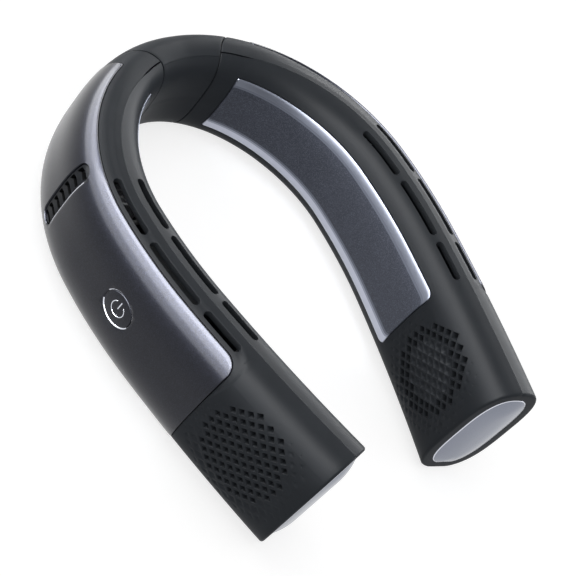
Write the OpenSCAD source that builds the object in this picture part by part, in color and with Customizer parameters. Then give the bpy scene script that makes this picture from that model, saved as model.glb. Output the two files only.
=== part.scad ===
// Electric neck fan: two curved arms hinged on a short bridge behind the neck.
// Each arm holds a blower, a battery and a cooling plate with its chip and heat sink.
// A station is a distance along the ridge line, counted from the middle of the bridge.
// Across the arm, a is the distance outwards from the ridge line, and z is the height.

/* [Neck loop] */
// Radius of the ridge line round the back of the neck
neck_r = 80; // [74:1:90]
// Angle that this arc turns through on each side, in degrees
neck_turn = 88; // [84:1:90]
// Radius of the ridge line beside the jaw
cheek_r = 236; // [200:2:300]
// Angle that the arc beside the jaw turns through, in degrees
cheek_turn = 12; // [10:1:14]
// Radius of the ridge line along the front of an arm
arm_r = 906; // [700:10:1500]
// Distance along the ridge line from the bridge's middle to an arm's end
half_len = 266; // [262:1:276]

/* [Section] */
// Ridge line to the outer face
out_w = 18.5; // [17.5:0.5:21]
// Ridge line to the inner face, along the front of an arm
front_in_w = 18.5; // [17.5:0.5:21]
// Ridge line to the inner face, at the middle of the bridge
back_in_w = 6.2; // [6:0.1:7.4]
// Height at the middle of the bridge
back_h = 55.5; // [53:0.5:60]
// Height at the front ends
front_h = 72; // [70:0.5:80]
// How late the height grows along an arm, as a power
rise_power = 1.2; // [1:0.05:1.6]
// Distance over which the inner side fills out from the bridge
ease_len = 65; // [60:1:72]
// Roundness of the section from side to side, as a power
side_n = 2.5; // [2.3:0.1:3]
// Roundness of the section from bottom to top, as a power
top_n = 3.2; // [3:0.1:3.8]
// Depth that is taken off the underside to make it flat
foot_cut = 0.5; // [0.3:0.1:0.9]

/* [Shells] */
// Wall of the shells
wall = 1.8; // [1.5:0.1:2.1]
// Wall at an arm's front end, behind the end cap's seat
end_wall = 2; // [1.6:0.1:3]
// Station where the gloss cover starts
cover_start = 37.5; // [36:0.5:39]
// Distance from an arm's end to the gloss cover's front edge
cover_back = 60.5; // [59:0.5:63]
// Depth of the gloss cover's seat
cover_seat = 1.2; // [1:0.1:1.4]
// How far the gloss cover stands proud of the shell
cover_proud = 0.3; // [0.2:0.1:0.6]
// Ridge line to the gloss cover's upper and lower edges
cover_a = 10.3; // [9.8:0.1:11.5]

/* [Cooling plate] */
// Station where the cooling plate starts
plate_start = 31; // [30:0.5:34]
// Distance from an arm's end to the plate's front edge
plate_back = 62.5; // [61:0.5:64]
// Depth of the plate's seat
plate_seat = 1.4; // [1.2:0.1:1.6]
// How far the plate stands proud of the shell
plate_proud = 0.5; // [0.3:0.1:0.8]

/* [Air slots] */
// Width of a slot
slot_w = 3.6; // [3:0.1:4.2]
// Station where the first slot starts
slot_start = 106; // [104:0.5:110]
// Length of the first slot
slot_len_1 = 29; // [26:0.5:30]
// Length of the second slot
slot_len_2 = 33.5; // [30:0.5:34.5]
// Length of the third slot
slot_len_3 = 22.3; // [18:0.5:23]
// Gap between two slots
slot_gap = 4.5; // [3.5:0.1:5]
// Ridge line to the outer row's middle
slot_out_a = 6.3; // [5.8:0.1:6.8]
// Ridge line to the inner row's middle
slot_in_a = 5.5; // [5:0.1:6.2]

/* [Vent] */
// Station of the upright vent
vent_s = 98.5; // [97:0.5:100]
// Width of the vent
vent_w = 7.6; // [7:0.1:9]
// Height of the vent
vent_h = 41; // [36:0.5:42]
// Number of slits in its louvres
vent_slits = 7; // [5:1:8]

/* [Fan] */
// Distance from an arm's end to the fan's axis
fan_back = 32.5; // [31.5:0.5:34]
// Fan's axis above the middle of an arm's front end
fan_lift = 2.5; // [1:0.5:4]
// Impeller's rim to the level of the front end's top, were its axis in the middle
fan_margin = 15.5; // [15:0.1:18]
// How far the grille reaches beyond the impeller's rim
grille_over = 1.8; // [0.5:0.1:2.4]
// Grille cell along the arm
cell_s = 6.65; // [6:0.05:7.5]
// Grille cell in height
cell_z = 5.3; // [4.8:0.05:6]
// Width of the inner grille's open ring, round its closed middle
grille_ring = 7.8; // [6:0.1:10]
// Width of the impeller
fan_w = 17; // [13:0.5:18]
// Number of blades
blades = 26; // [14:1:32]
// Radius of the fan's shaft
shaft_r = 1.5; // [1.2:0.1:2]
// Radius of the fan's motor
motor_r = 11.5; // [10:0.5:12.5]

/* [Hinge] */
// Station of the hinge axis
hinge_s = 39.5; // [39:0.5:41]
// Hinge axis, inwards from the ridge line
hinge_in = 1; // [0.6:0.1:1.6]
// Radius of the arm's round end
knuckle_r = 20.3; // [19.8:0.1:20.8]
// Gap between the arm's round end and the bridge
knuckle_gap = 0.5; // [0.4:0.05:0.8]
// Radius of the hinge pin
pin_r = 2.5; // [2:0.1:3]
// How far an arm swings outwards, in degrees
swing = 12; // [6:1:14]

/* [Power button] */
// Station of the power button
button_s = 152; // [150:0.5:155]
// Height of its middle
button_z = 33.5; // [32:0.5:35]
// Radius of the button
button_r = 8.4; // [7.5:0.1:9]
// Travel of the button
button_travel = 0.5; // [0.3:0.1:0.6]

/* [Battery and board] */
// Length of a battery cell
cell_len = 34; // [28:1:36]
// Height of a battery cell
cell_h = 34; // [28:1:35]
// Thickness of a battery cell
cell_t = 12; // [9:0.5:12.5]
// Length of the control board
board_len = 50; // [44:1:52]
// Height of the control board
board_h = 32; // [26:1:36]

/* [Smoothness] */
// Longest step between two cross-sections round the neck
ring_step = 8; // [5:1:12]
// The same beside the jaw
cheek_step = 13; // [8:1:20]
// The same along the front
arm_step = 20; // [10:1:30]
// Points along half of a cross-section
half_points = 14; // [10:2:20]

/* [Hidden] */
$fn = 48;
// One overrun serves all cuts
over = 0.6;
// Clearance between pieces that are fitted together and don't turn
seat_gap = 0.15;
// Radial clearance of a shaft or pin in its hole
run_fit = 0.05;
// Step of a seat's edge, along the arm
seat_step = 0.4;
// Step of a seat's edge round the section, in degrees
seat_turn = 1.2;

neck_len = neck_r * neck_turn * PI / 180;
cheek_len = cheek_r * cheek_turn * PI / 180;
taper_len = neck_len + cheek_len;
cover_end = half_len - cover_back;
plate_end = half_len - plate_back;
fan_s = half_len - fan_back;
fan_z = front_h / 2 + fan_lift;
fan_r = front_h / 2 - fan_margin;
grille_r = fan_r + grille_over;
blind_r = grille_r - grille_ring;

// Height shares of the cooling plate's lower and upper edges
plate_low_share = 0.165;
plate_high_share = 0.85;

// The arm's start, behind its round end, and the tip of the bridge's horns
arm_start = hinge_s - knuckle_r - 2 * over;
horn_back = 10;
horn_s = hinge_s - horn_back;

// Heading of the ridge line at a station, in degrees, and the points of the line
function heading(s) =
    s <= neck_len ? s / neck_r * 180 / PI
    : s <= taper_len ? neck_turn + (s - neck_len) / cheek_r * 180 / PI
    : neck_turn + cheek_turn + (s - taper_len) / arm_r * 180 / PI;
function arc_step(r, t0, t1) = r * [sin(t1) - sin(t0), cos(t1) - cos(t0)];
function ridge(s) =
    s <= neck_len ? arc_step(neck_r, 0, heading(s))
    : s <= taper_len ? arc_step(neck_r, 0, neck_turn) + arc_step(cheek_r, neck_turn, heading(s))
    : arc_step(neck_r, 0, neck_turn) + arc_step(cheek_r, neck_turn, neck_turn + cheek_turn)
        + arc_step(arm_r, neck_turn + cheek_turn, heading(s));

// The origin lies under the middle of the whole fan
front_y = ridge(half_len)[1] + out_w * cos(heading(half_len));
mid_y = (out_w + front_y) / 2;
function spot(s, a, z) = [
    ridge(s)[0] + a * sin(heading(s)),
    ridge(s)[1] + a * cos(heading(s)) - mid_y,
    z
];

// Section: a rounded box by powers, wider on the inner side towards the front
function height(s) = back_h + (front_h - back_h) * pow(abs(s) / half_len, rise_power);
function in_w(s) = front_in_w - (front_in_w - back_in_w) * exp(-pow(s / ease_len, 2));
function half_a(s) = (out_w + in_w(s)) / 2;
function mid_a(s) = (out_w - in_w(s)) / 2;
function half_z(s) = (height(s) + foot_cut) / 2;
function mid_z(s) = (height(s) - foot_cut) / 2;
function rim(s, u, inset) = [
    mid_a(s) + (half_a(s) - inset) * sign(cos(u)) * pow(abs(cos(u)), 2 / side_n),
    max(inset, mid_z(s) + (half_z(s) - inset) * sign(sin(u)) * pow(abs(sin(u)), 2 / top_n))
];
function rim_spot(s, u, inset) = let (p = rim(s, u, inset)) spot(s, p[0], p[1]);
// Angle at which the rim crosses the distance a, or the height share, on the outer side
function turn_at_a(s, a) =
    let (share = (a - mid_a(s)) / half_a(s))
    acos(sign(share) * pow(abs(share), side_n / 2));
function turn_at_share(s, share) =
    let (rise = (share * height(s) - mid_z(s)) / half_z(s))
    asin(sign(rise) * pow(abs(rise), top_n / 2));

// Stations from the first mark to the last, with rings at every mark and between them
function sorted(v) =
    len(v) < 2 ? v
    : concat(sorted([for (x = v) if (x < v[0]) x]), [v[0]], sorted([for (x = v) if (x > v[0]) x]));
function step_at(s) = s < neck_len ? ring_step : s < taper_len ? cheek_step : arm_step;
function stations(marks) =
    let (
        bends = [for (s = [neck_len, taper_len]) if (s > marks[0] && s < max(marks)) s],
        all = sorted(concat(marks, bends))
    )
    [
        for (i = [0 : len(all) - 2])
            let (n = ceil((all[i + 1] - all[i]) / step_at(all[i])))
            for (k = [0 : n - 1]) all[i] + (all[i + 1] - all[i]) * k / n,
        max(marks)
    ];
function steps(s0, s1) = stations([s0, s1]);
function turns(u0, u1, n) = [for (k = [0 : n]) u0 + (u1 - u0) * k / n];

// A closed solid through rings of points, which all have the same count and turn the same way,
// from the outer side over the top to the inner side
// Its two ends are closed by rows of triangles between the two flanks of a ring
module sweep(rings) {
    m = len(rings[0]);
    n = len(rings);
    points = [for (ring = rings) each ring];
    sides = [
        for (i = [0 : n - 2], j = [0 : m - 1])
            let (k = (j + 1) % m)
            each [
                [i * m + j, (i + 1) * m + k, i * m + k],
                [i * m + j, (i + 1) * m + j, (i + 1) * m + k]
            ]
    ];
    first = [
        for (j = [0 : floor(m / 2) - 1])
            let (k = m - 1 - j)
            each [
                if (k - j > 1) [j, j + 1, k],
                if (k - j > 2) [j + 1, k - 1, k]
            ]
    ];
    last = [for (face = first) [for (j = [2, 1, 0]) (n - 1) * m + face[j]]];
    polyhedron(points = points, faces = concat(sides, first, last), convexity = 8);
}

// Distance out to the face at a height, on the outer side (1) or the inner side (-1)
function face_a(s, z, inset, side) =
    let (rise = (z - mid_z(s)) / (half_z(s) - inset))
    mid_a(s) + side * (half_a(s) - inset) * pow(1 - pow(abs(rise), top_n), 1 / side_n);

// Moves a shape to a station: its X points outwards, its Y back towards the bridge
module at(s, a, z) {
    translate(spot(s, a, z))
        rotate([0, 0, 90 - heading(s)])
            children();
}
module on_left(left) {
    if (left)
        mirror([1, 0, 0]) children();
    else
        children();
}
// A round bar along the outward direction, from its start to its end
module bar(r, from, to) {
    translate([from, 0, 0])
        rotate([0, 90, 0])
            cylinder(r = r, h = to - from);
}
module box(size) {
    translate([-size[0] / 2, -size[1] / 2, -size[2] / 2])
        cube(size);
}

// Halves of the body, split at the ridge line, with the seats for the cover and the plate
cover_points = 10;
edge_points = 4;
function outer_ring(s, seat) =
    let (
        u = turn_at_a(s, 0),
        e = turn_at_a(s, cover_a)
    )
    concat(
        [for (v = turns(-u, -e, edge_points)) rim_spot(s, v, 0)],
        [for (v = turns(seat_turn - e, e - seat_turn, cover_points)) rim_spot(s, v, seat)],
        [for (v = turns(e, u, edge_points)) rim_spot(s, v, 0)]
    );
plate_points = 8;
function inner_ring(s, seat) =
    let (
        u = turn_at_a(s, 0),
        high = 180 - turn_at_share(s, plate_high_share),
        low = 180 - turn_at_share(s, plate_low_share)
    )
    concat(
        [for (v = turns(u, high, edge_points + 1)) rim_spot(s, v, 0)],
        [for (v = turns(high + seat_turn, low - seat_turn, plate_points)) rim_spot(s, v, seat)],
        [for (v = turns(low, 360 - u, edge_points + 1)) rim_spot(s, v, 0)]
    );
module outer_half(s0, s1) {
    sweep([for (s = steps(s0, s1)) outer_ring(s, 0)]);
}
module inner_half(s0, s1) {
    sweep([for (s = steps(s0, s1)) inner_ring(s, 0)]);
}
function whole_ring(s, inset) =
    [for (k = [0 : 2 * half_points - 1]) rim_spot(s, 180 * k / half_points, inset)];
module whole(s0, s1, inset) {
    sweep([for (s = steps(s0, s1)) whole_ring(s, inset)]);
}
arm_stations = stations([
    arm_start, half_len,
    plate_start - seat_step, plate_start, plate_end, plate_end + seat_step,
    cover_start - seat_step, cover_start, cover_end, cover_end + seat_step
]);
module arm_outer_half() {
    sweep([
        for (s = arm_stations)
            outer_ring(s, s >= cover_start && s <= cover_end ? cover_seat : 0)
    ]);
}
module arm_inner_half() {
    sweep([
        for (s = arm_stations)
            inner_ring(s, s >= plate_start && s <= plate_end ? plate_seat : 0)
    ]);
}

// Hinge: everything on the bridge's side of its axis, but for the round end
hinge_z = back_h / 2;
module round_end(r) {
    at(hinge_s, -hinge_in, -over)
        cylinder(r = r, h = front_h + 2 * over, $fn = 96);
}
module bridge_side(r) {
    difference() {
        at(hinge_s, -hinge_in, -2 * over)
            translate([-2 * knuckle_r, 0, 0])
                cube([4 * knuckle_r, 3 * knuckle_r, front_h + 4 * over]);
        at(hinge_s, -hinge_in, -3 * over)
            cylinder(r = r, h = front_h + 6 * over, $fn = 96);
    }
}

// Walls stay under the seats, so an arm's hollow lies below the deeper one
skin = wall + max(cover_seat, plate_seat);
cap_seat = 2.5;
hollow_end = half_len - end_wall - cap_seat;
module hollow() {
    difference() {
        whole(arm_start - over, hollow_end, skin);
        bridge_side(knuckle_r - wall);
    }
}

// Strap: a steel band inside the bridge with an eye on each hinge axis
strap_t = 3;
strap_h = 12;
strap_slack = 0.6;
eye_r = 5;
// The way through the round end lets the arm swing out, with a little to spare
swing_spare = 3;
way_points = 4;
function strap_bend(d) = d * d / (2 * (neck_r - hinge_in));
module strap_way() {
    half = strap_t / 2 + strap_slack;
    far = knuckle_r + eye_r;
    at(hinge_s, -hinge_in, hinge_z - strap_h / 2 - strap_slack)
        linear_extrude(strap_h + 2 * strap_slack)
            polygon([
                for (d = turns(far, eye_r, way_points)) [-half - strap_bend(d), d],
                for (d = turns(eye_r, far, way_points))
                    [half - strap_bend(d) + d * tan(swing + swing_spare), d]
            ]);
}
// The band's own room through the bridge's end walls
module strap_slot(slack) {
    translate([0, -neck_r - mid_y, hinge_z - strap_h / 2 - slack])
        rotate([0, 0, 90 - heading(hinge_s)])
            rotate_extrude(angle = 2 * heading(hinge_s), $fn = 180)
                translate([neck_r - hinge_in - strap_t / 2 - slack, 0])
                    square([strap_t + 2 * slack, strap_h + 2 * slack]);
}
module both_sides() {
    for (left = [false, true])
        on_left(left) children();
}
module hinge_strap() {
    color("silver")
        difference() {
            union() {
                strap_slot(0);
                both_sides()
                    at(hinge_s, -hinge_in, hinge_z - strap_h / 2)
                        cylinder(r = eye_r, h = strap_h);
            }
            both_sides()
                at(hinge_s, -hinge_in, hinge_z - strap_h / 2 - over)
                    cylinder(r = pin_r + run_fit, h = strap_h + 2 * over);
            bridge_screw_spots()
                bar(screw_r + seat_gap, -hinge_in - strap_t, -hinge_in + strap_t);
        }
}

// Screws: two hold the strap in the bridge, and four join the halves of each arm
screw_r = 1.2;
screw_head_r = 2.4;
screw_head_h = 1.2;
screw_grip = 7;
boss_r = 3.2;
boss_sink = 0.5;
bridge_screw_s = 9;
module bridge_screw_spots() {
    both_sides()
        at(bridge_screw_s, 0, hinge_z)
            children();
}
module screw(head_at, tip_at) {
    bar(screw_head_r, head_at - screw_head_h, head_at);
    bar(screw_r, head_at - screw_head_h / 2, tip_at);
}
module bridge_screws() {
    color("dimgray")
        bridge_screw_spots()
            screw(-hinge_in - strap_t / 2 - seat_gap, screw_grip);
}

// Bridge shells
module bridge_hollow() {
    difference() {
        whole(-horn_s, horn_s, wall);
        both_sides()
            round_end(knuckle_r + knuckle_gap + wall);
    }
}
module bridge_cuts() {
    bridge_hollow();
    both_sides()
        round_end(knuckle_r + knuckle_gap);
    strap_slot(seat_gap);
}
module bridge_outer_shell() {
    color("#3f4245")
        difference() {
            union() {
                difference() {
                    outer_half(-horn_s, horn_s);
                    bridge_cuts();
                }
                bridge_screw_spots()
                    bar(boss_r, -hinge_in + strap_t / 2 + seat_gap, out_w - wall + boss_sink);
            }
            bridge_screw_spots()
                bar(screw_r + run_fit, -over, screw_grip + over);
        }
}
module bridge_inner_shell() {
    color("#3f4245")
        difference() {
            inner_half(-horn_s, horn_s);
            bridge_cuts();
        }
}

// Air slots: stadiums that follow the ridge line, cut down through the top wall
slot_points = 6;
slot_depth_share = 0.3;
slot_starts = [
    slot_start,
    slot_start + slot_len_1 + slot_gap,
    slot_start + slot_len_1 + slot_len_2 + 2 * slot_gap
];
slot_lens = [slot_len_1, slot_len_2, slot_len_3];
function flat(p) = [p[0], p[1]];
function slot_outline(s0, s1, a) =
    let (r = slot_w / 2)
    [
        for (t = turns(-90, 90, slot_points)) flat(spot(s1 - r + r * cos(t), a + r * sin(t), 0)),
        for (s = turns(s1 - 2 * r, s0 + 2 * r, slot_points)) flat(spot(s, a + r, 0)),
        for (t = turns(90, 270, slot_points)) flat(spot(s0 + r + r * cos(t), a + r * sin(t), 0)),
        for (s = turns(s0 + 2 * r, s1 - 2 * r, slot_points)) flat(spot(s, a - r, 0))
    ];
module slots(a) {
    for (i = [0 : len(slot_starts) - 1])
        translate([0, 0, height(slot_starts[i]) * (1 - slot_depth_share)])
            linear_extrude(front_h * slot_depth_share)
                polygon(slot_outline(slot_starts[i], slot_starts[i] + slot_lens[i], a));
}

// Grille: rhombic holes in staggered columns round the fan's axis
hole_share = 0.56;
module grille_holes(from_r, to_r, deep) {
    columns = ceil(2 * to_r / cell_s);
    rows = ceil(2 * to_r / cell_z);
    rotate([90, 0, 90])
        linear_extrude(deep)
            for (i = [-columns : columns], j = [-rows : rows])
                let (y = i * cell_s / 2, z = j * cell_z / 2)
                    if ((i + j) % 2 == 0 && norm([y, z]) > from_r && norm([y, z]) <= to_r)
                        translate([y, z])
                            polygon(hole_share / 2 * [
                                [cell_s, 0], [0, cell_z], [-cell_s, 0], [0, -cell_z]
                            ]);
}
module at_fan() {
    at(fan_s, 0, fan_z)
        children();
}

// Vent: an upright stadium through the cover and the shell
vent_z = 33.3;
module vent_hole(gap) {
    at(vent_s, 0, vent_z)
        rotate([90, 0, 90])
            linear_extrude(out_w + 2 * over) {
                square([vent_w - 2 * gap, vent_h - vent_w], center = true);
                for (end = [-1, 1])
                    translate([0, end * (vent_h - vent_w) / 2])
                        circle(r = vent_w / 2 - gap);
            }
}

// Screws of an arm, in two pairs
screw_low_z = 15;
screw_high_z = 46;
arm_screw_stations = [slot_start + slot_len_1 / 2, slot_starts[2] + slot_lens[2] - boss_r];
module arm_screw_spots() {
    for (s = arm_screw_stations, z = [screw_low_z, screw_high_z])
        at(s, 0, z) {
            $screw_s = s;
            $screw_z = z;
            children();
        }
}
// A head's seat clears the cooling plate's back at the head's far edge
function head_seat(s, z) =
    face_a(s, z + sign(z - mid_z(s)) * screw_head_r, plate_seat, -1) + screw_head_h + seat_gap;

// Seat of the end cap
cap_edge = 5.2;
module cap_hole() {
    sweep([for (s = [half_len - cap_seat, half_len + over]) whole_ring(s, cap_edge)]);
}

// Outer shell of an arm
board_post_r = 2.2;
board_post_in = 4;
board_face = 6;
board_t = 1.6;
module board_posts() {
    at(button_s, 0, button_z)
        for (end = [-1, 1])
            translate([0, end * (board_len / 2 - board_post_in), 0])
                bar(board_post_r, board_face + seat_gap, out_w - skin + boss_sink);
}
module outer_shell(left) {
    color("#3c3f42")
        on_left(left)
            difference() {
                union() {
                    difference() {
                        arm_outer_half();
                        bridge_side(knuckle_r);
                        hollow();
                        strap_way();
                        cap_hole();
                        slots(slot_out_a);
                        vent_hole(0);
                        at_fan()
                            translate([out_w - skin - 2 * over, 0, 0])
                                grille_holes(-over, grille_r, skin + 3 * over);
                        if (left) {
                            at(button_s, 0, button_z)
                                bar(stem_r + seat_gap, out_w - skin - over, out_w + over);
                            port_hole();
                        }
                    }
                    arm_screw_spots()
                        bar(boss_r, 0, face_a($screw_s, $screw_z, skin - boss_sink, 1));
                    if (left)
                        board_posts();
                }
                arm_screw_spots()
                    bar(screw_r + run_fit, -over, screw_grip + over);
            }
}

// Inner shell of an arm, with the window for the chip
chip_len = 20;
chip_h = 26;
chip_t = 3.4;
chip_gap = 0.4;
chip_pad = 0.3;
// The chip's flat side clears the plate's back where that curves in, at the chip's upper edge
chip_a = face_a(vent_s, vent_z + chip_h / 2, plate_seat, -1) + chip_pad;
module inner_shell(left) {
    color("#3c3f42")
        on_left(left)
            difference() {
                union() {
                    difference() {
                        arm_inner_half();
                        bridge_side(knuckle_r);
                        hollow();
                        strap_way();
                        cap_hole();
                        slots(-slot_in_a);
                        at_fan()
                            translate([-front_in_w - over, 0, 0])
                                grille_holes(blind_r, grille_r, skin + 3 * over);
                        at(vent_s, chip_a, vent_z)
                            box([2 * skin, chip_len + 2 * chip_gap, chip_h + 2 * chip_gap]);
                    }
                    arm_screw_spots()
                        bar(boss_r, face_a($screw_s, $screw_z, skin - boss_sink, -1), 0);
                }
                arm_screw_spots() {
                    bar(screw_r + seat_gap, -front_in_w, over);
                    bar(screw_head_r + seat_gap, -front_in_w - over, head_seat($screw_s, $screw_z));
                }
            }
}
module arm_screws(left) {
    color("dimgray")
        on_left(left)
            arm_screw_spots()
                screw(head_seat($screw_s, $screw_z), screw_grip);
}

// Gloss cover: a strip that lies in its seat round the arm's outer side
cover_edge_turn = 0.8;
function cover_ring(s) =
    let (e = turn_at_a(s, cover_a) - seat_turn - cover_edge_turn)
    concat(
        [for (v = turns(-e, e, cover_points)) rim_spot(s, v, -cover_proud)],
        [for (v = turns(e, -e, cover_points)) rim_spot(s, v, cover_seat - seat_gap)]
    );
module outer_cover(left) {
    color("#4a4f5c")
        on_left(left)
            difference() {
                sweep([for (s = steps(cover_start + seat_gap, cover_end - seat_gap)) cover_ring(s)]);
                vent_hole(0);
                if (left)
                    at(button_s, 0, button_z)
                        bar(button_r + seat_gap, out_w - 2 * cover_seat, out_w + over);
            }
}

// Louvres: a curved insert with slanted slits, set a little back in the vent
louvre_back = 0.5;
louvre_t = 2;
slit_h = 2.4;
slit_slant = 15;
louvre_turn = 60;
// The slits' pitch is the vent's height over their number and this share of one more
slit_end_share = 0.3;
slit_pitch = vent_h / (vent_slits + slit_end_share);
module vent_louvres(left) {
    color("#34373b")
        on_left(left)
            difference() {
                intersection() {
                    sweep([
                        for (s = [vent_s - vent_w, vent_s, vent_s + vent_w])
                            concat(
                                [for (v = turns(-louvre_turn, louvre_turn, cover_points))
                                    rim_spot(s, v, louvre_back)],
                                [for (v = turns(louvre_turn, -louvre_turn, cover_points))
                                    rim_spot(s, v, louvre_back + louvre_t)]
                            )
                    ]);
                    vent_hole(seat_gap);
                }
                at(vent_s, 0, vent_z)
                    for (i = [0 : vent_slits - 1])
                        translate([0, 0, (i - (vent_slits - 1) / 2) * slit_pitch])
                            rotate([-slit_slant, 0, 0])
                                translate([0, -vent_w / 2 + wall / 2, -slit_h / 2])
                                    cube([out_w + over, vent_w - wall, slit_h]);
            }
}

// Cooling plate with rounded long edges
plate_edge_share = 0.3;
plate_round = 1.2;
plate_edge_turn = 0.8;
plate_face_points = 12;
function plate_drop(t) =
    let (e = max(0, (abs(t) - 1 + plate_edge_share) / plate_edge_share))
    plate_round * (1 - sqrt(1 - e * e));
function plate_ring(s) =
    let (
        high = 180 - turn_at_share(s, plate_high_share) + seat_turn + plate_edge_turn,
        low = 180 - turn_at_share(s, plate_low_share) - seat_turn - plate_edge_turn
    )
    concat(
        [for (t = turns(-1, 1, plate_face_points))
            rim_spot(s, (high + low) / 2 + t * (low - high) / 2, plate_drop(t) - plate_proud)],
        [for (v = turns(low, high, plate_face_points)) rim_spot(s, v, plate_seat - seat_gap)]
    );
module cooling_plate(left) {
    color("#8d93a3")
        on_left(left)
            sweep([for (s = steps(plate_start + seat_gap, plate_end - seat_gap)) plate_ring(s)]);
}
module cooling_chip(left) {
    color("white")
        on_left(left)
            at(vent_s, chip_a + chip_t / 2, vent_z)
                box([chip_t, chip_len, chip_h]);
}
sink_len = 26;
sink_h = 30;
sink_base = 2.5;
fin_t = 1;
fins = 8;
fin_reach = 15;
module heat_sink(left) {
    color("lightsteelblue")
        on_left(left)
            at(vent_s, chip_a + chip_t, vent_z) {
                translate([0, -sink_len / 2, -sink_h / 2])
                    cube([sink_base, sink_len, sink_h]);
                for (i = [0 : fins - 1])
                    translate([0, -sink_len / 2 + i * (sink_len - fin_t) / (fins - 1), -sink_h / 2])
                        cube([sink_base + fin_reach, fin_t, sink_h]);
            }
}

// Battery cell against the inner wall, which curves in at the cell's upper edge
cell_gap = 0.3;
module battery(left) {
    color("seagreen")
        on_left(left)
            at(button_s, face_a(button_s, button_z + cell_h / 2, skin, -1) + cell_gap + cell_t / 2, button_z)
                box([cell_t, cell_len, cell_h]);
}

// Fan: a blower with its axis across the arm
volute_gap = 2.3;
volute_r = fan_r + volute_gap;
volute_t = 1.6;
volute_open = 80;
motor_t = 6;
motor_gap = 0.3;
hub_r = 9;
hub_gap = 0.6;
disc_t = 1.2;
blade_t = 0.9;
blade_len = 7.5;
blade_lean = 35;
bush_r = 3;
motor_back = face_a(fan_s, fan_z + motor_r, skin, -1) + motor_gap;
motor_front = motor_back + motor_t;
fan_floor = motor_front + hub_gap;
module fan_volute(left) {
    color("#2f3236")
        on_left(left)
            intersection() {
                at_fan()
                    rotate([0, 90, 0])
                        translate([0, 0, -front_in_w])
                            rotate([0, 0, 90 + volute_open / 2])
                                rotate_extrude(angle = 360 - volute_open, $fn = 96)
                                    translate([volute_r, 0])
                                        square([volute_t, front_in_w + out_w]);
                whole(fan_s - volute_r - 2 * volute_t, fan_s + volute_r + 2 * volute_t, skin + seat_gap);
            }
}
module fan_motor(left) {
    color("dimgray")
        on_left(left)
            at_fan()
                difference() {
                    bar(motor_r, motor_back, motor_front);
                    bar(bush_r, motor_back + disc_t, motor_front + over);
                }
}
module fan_bush(left) {
    color("goldenrod")
        on_left(left)
            at_fan()
                difference() {
                    bar(bush_r, motor_back + disc_t, motor_front);
                    bar(shaft_r + run_fit, motor_back, motor_front + over);
                }
}
module fan_shaft(left) {
    color("silver")
        on_left(left)
            at_fan()
                bar(shaft_r, motor_back + disc_t + motor_gap, fan_floor + fan_w / 2);
}
module impeller(left) {
    color("#26292c")
        on_left(left)
            at_fan()
                difference() {
                    union() {
                        bar(fan_r, fan_floor, fan_floor + disc_t);
                        bar(hub_r, fan_floor, fan_floor + fan_w / 2 + disc_t);
                        for (i = [0 : blades - 1])
                            rotate([360 * i / blades, 0, 0])
                                translate([fan_floor, fan_r - disc_t / 2, 0])
                                    rotate([blade_lean, 0, 0])
                                        translate([0, -blade_len, -blade_t])
                                            cube([fan_w, blade_len, blade_t]);
                    }
                    bar(shaft_r, fan_floor - over, fan_floor + fan_w / 2);
                }
}

// End cap: a crowned oval in the arm's front end
cap_bulge = 2.5;
cap_round = 5;
cap_rings = 4;
module end_cap(left) {
    edge = cap_edge + seat_gap;
    color("#c9ccd6")
        on_left(left)
            sweep(concat(
                [whole_ring(half_len - cap_seat + seat_gap, edge)],
                [for (t = turns(0, 90, cap_rings))
                    whole_ring(half_len + cap_bulge * sin(t), edge + cap_round * (1 - cos(t)))]
            ));
}

// Hinge bracket and pin of an arm
ear_t = 5;
ear_r = 5;
ear_gap = 0.3;
web_gap = 1;
web_near = eye_r + web_gap;
web_far = 15;
web_in = 5.6;
web_out = 14;
pin_grip = 0.02;
pin_head_r = 4;
pin_head_h = 1.5;
module hinge_bracket(left) {
    ear_z = strap_h / 2 + ear_gap;
    color("darkgray")
        on_left(left)
            at(hinge_s, -hinge_in, hinge_z)
                difference() {
                    union() {
                        translate([-web_in, -web_far, -ear_z - ear_t])
                            cube([web_in + web_out, web_far - web_near, 2 * (ear_z + ear_t)]);
                        for (z = [-ear_z - ear_t, ear_z])
                            translate([0, 0, z]) {
                                cylinder(r = ear_r, h = ear_t);
                                translate([-ear_r, -web_far, 0])
                                    cube([2 * ear_r, web_far, ear_t]);
                            }
                    }
                    translate([0, 0, -ear_z - ear_t - over])
                        cylinder(r = pin_r + pin_grip, h = 2 * (ear_z + ear_t + over));
                }
}
module hinge_pin(left) {
    pin_z = strap_h / 2 + ear_gap + ear_t;
    color("silver")
        on_left(left)
            at(hinge_s, -hinge_in, hinge_z - pin_z) {
                cylinder(r = pin_r, h = 2 * pin_z);
                translate([0, 0, 2 * pin_z])
                    cylinder(r = pin_head_r, h = pin_head_h);
            }
}

// Power button, its switch and the control board, in the left arm
stem_r = 3;
switch_w = 6;
switch_h = 3.2;
plunger_r = 1.6;
plunger_h = 0.8;
stop_gap = 0.3;
stem_gap = button_travel + stop_gap;
button_under = out_w - cover_seat + button_travel + seat_gap;
module at_button() {
    on_left(true)
        at(button_s, 0, button_z)
            children();
}
module power_button() {
    color("#4a4f5c")
        at_button() {
            bar(button_r, button_under, out_w + cover_proud);
            bar(stem_r, board_face + switch_h + plunger_h + stem_gap, button_under + over / 2);
        }
}
module button_switch() {
    color("black")
        at_button() {
            translate([board_face + switch_h / 2, 0, 0])
                box([switch_h, switch_w, switch_w]);
            bar(plunger_r, board_face + switch_h / 2, board_face + switch_h + plunger_h);
        }
}
module control_board() {
    color("darkgreen")
        at_button()
            translate([board_face - board_t / 2, 0, 0])
                box([board_t, board_len, board_h]);
}

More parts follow.
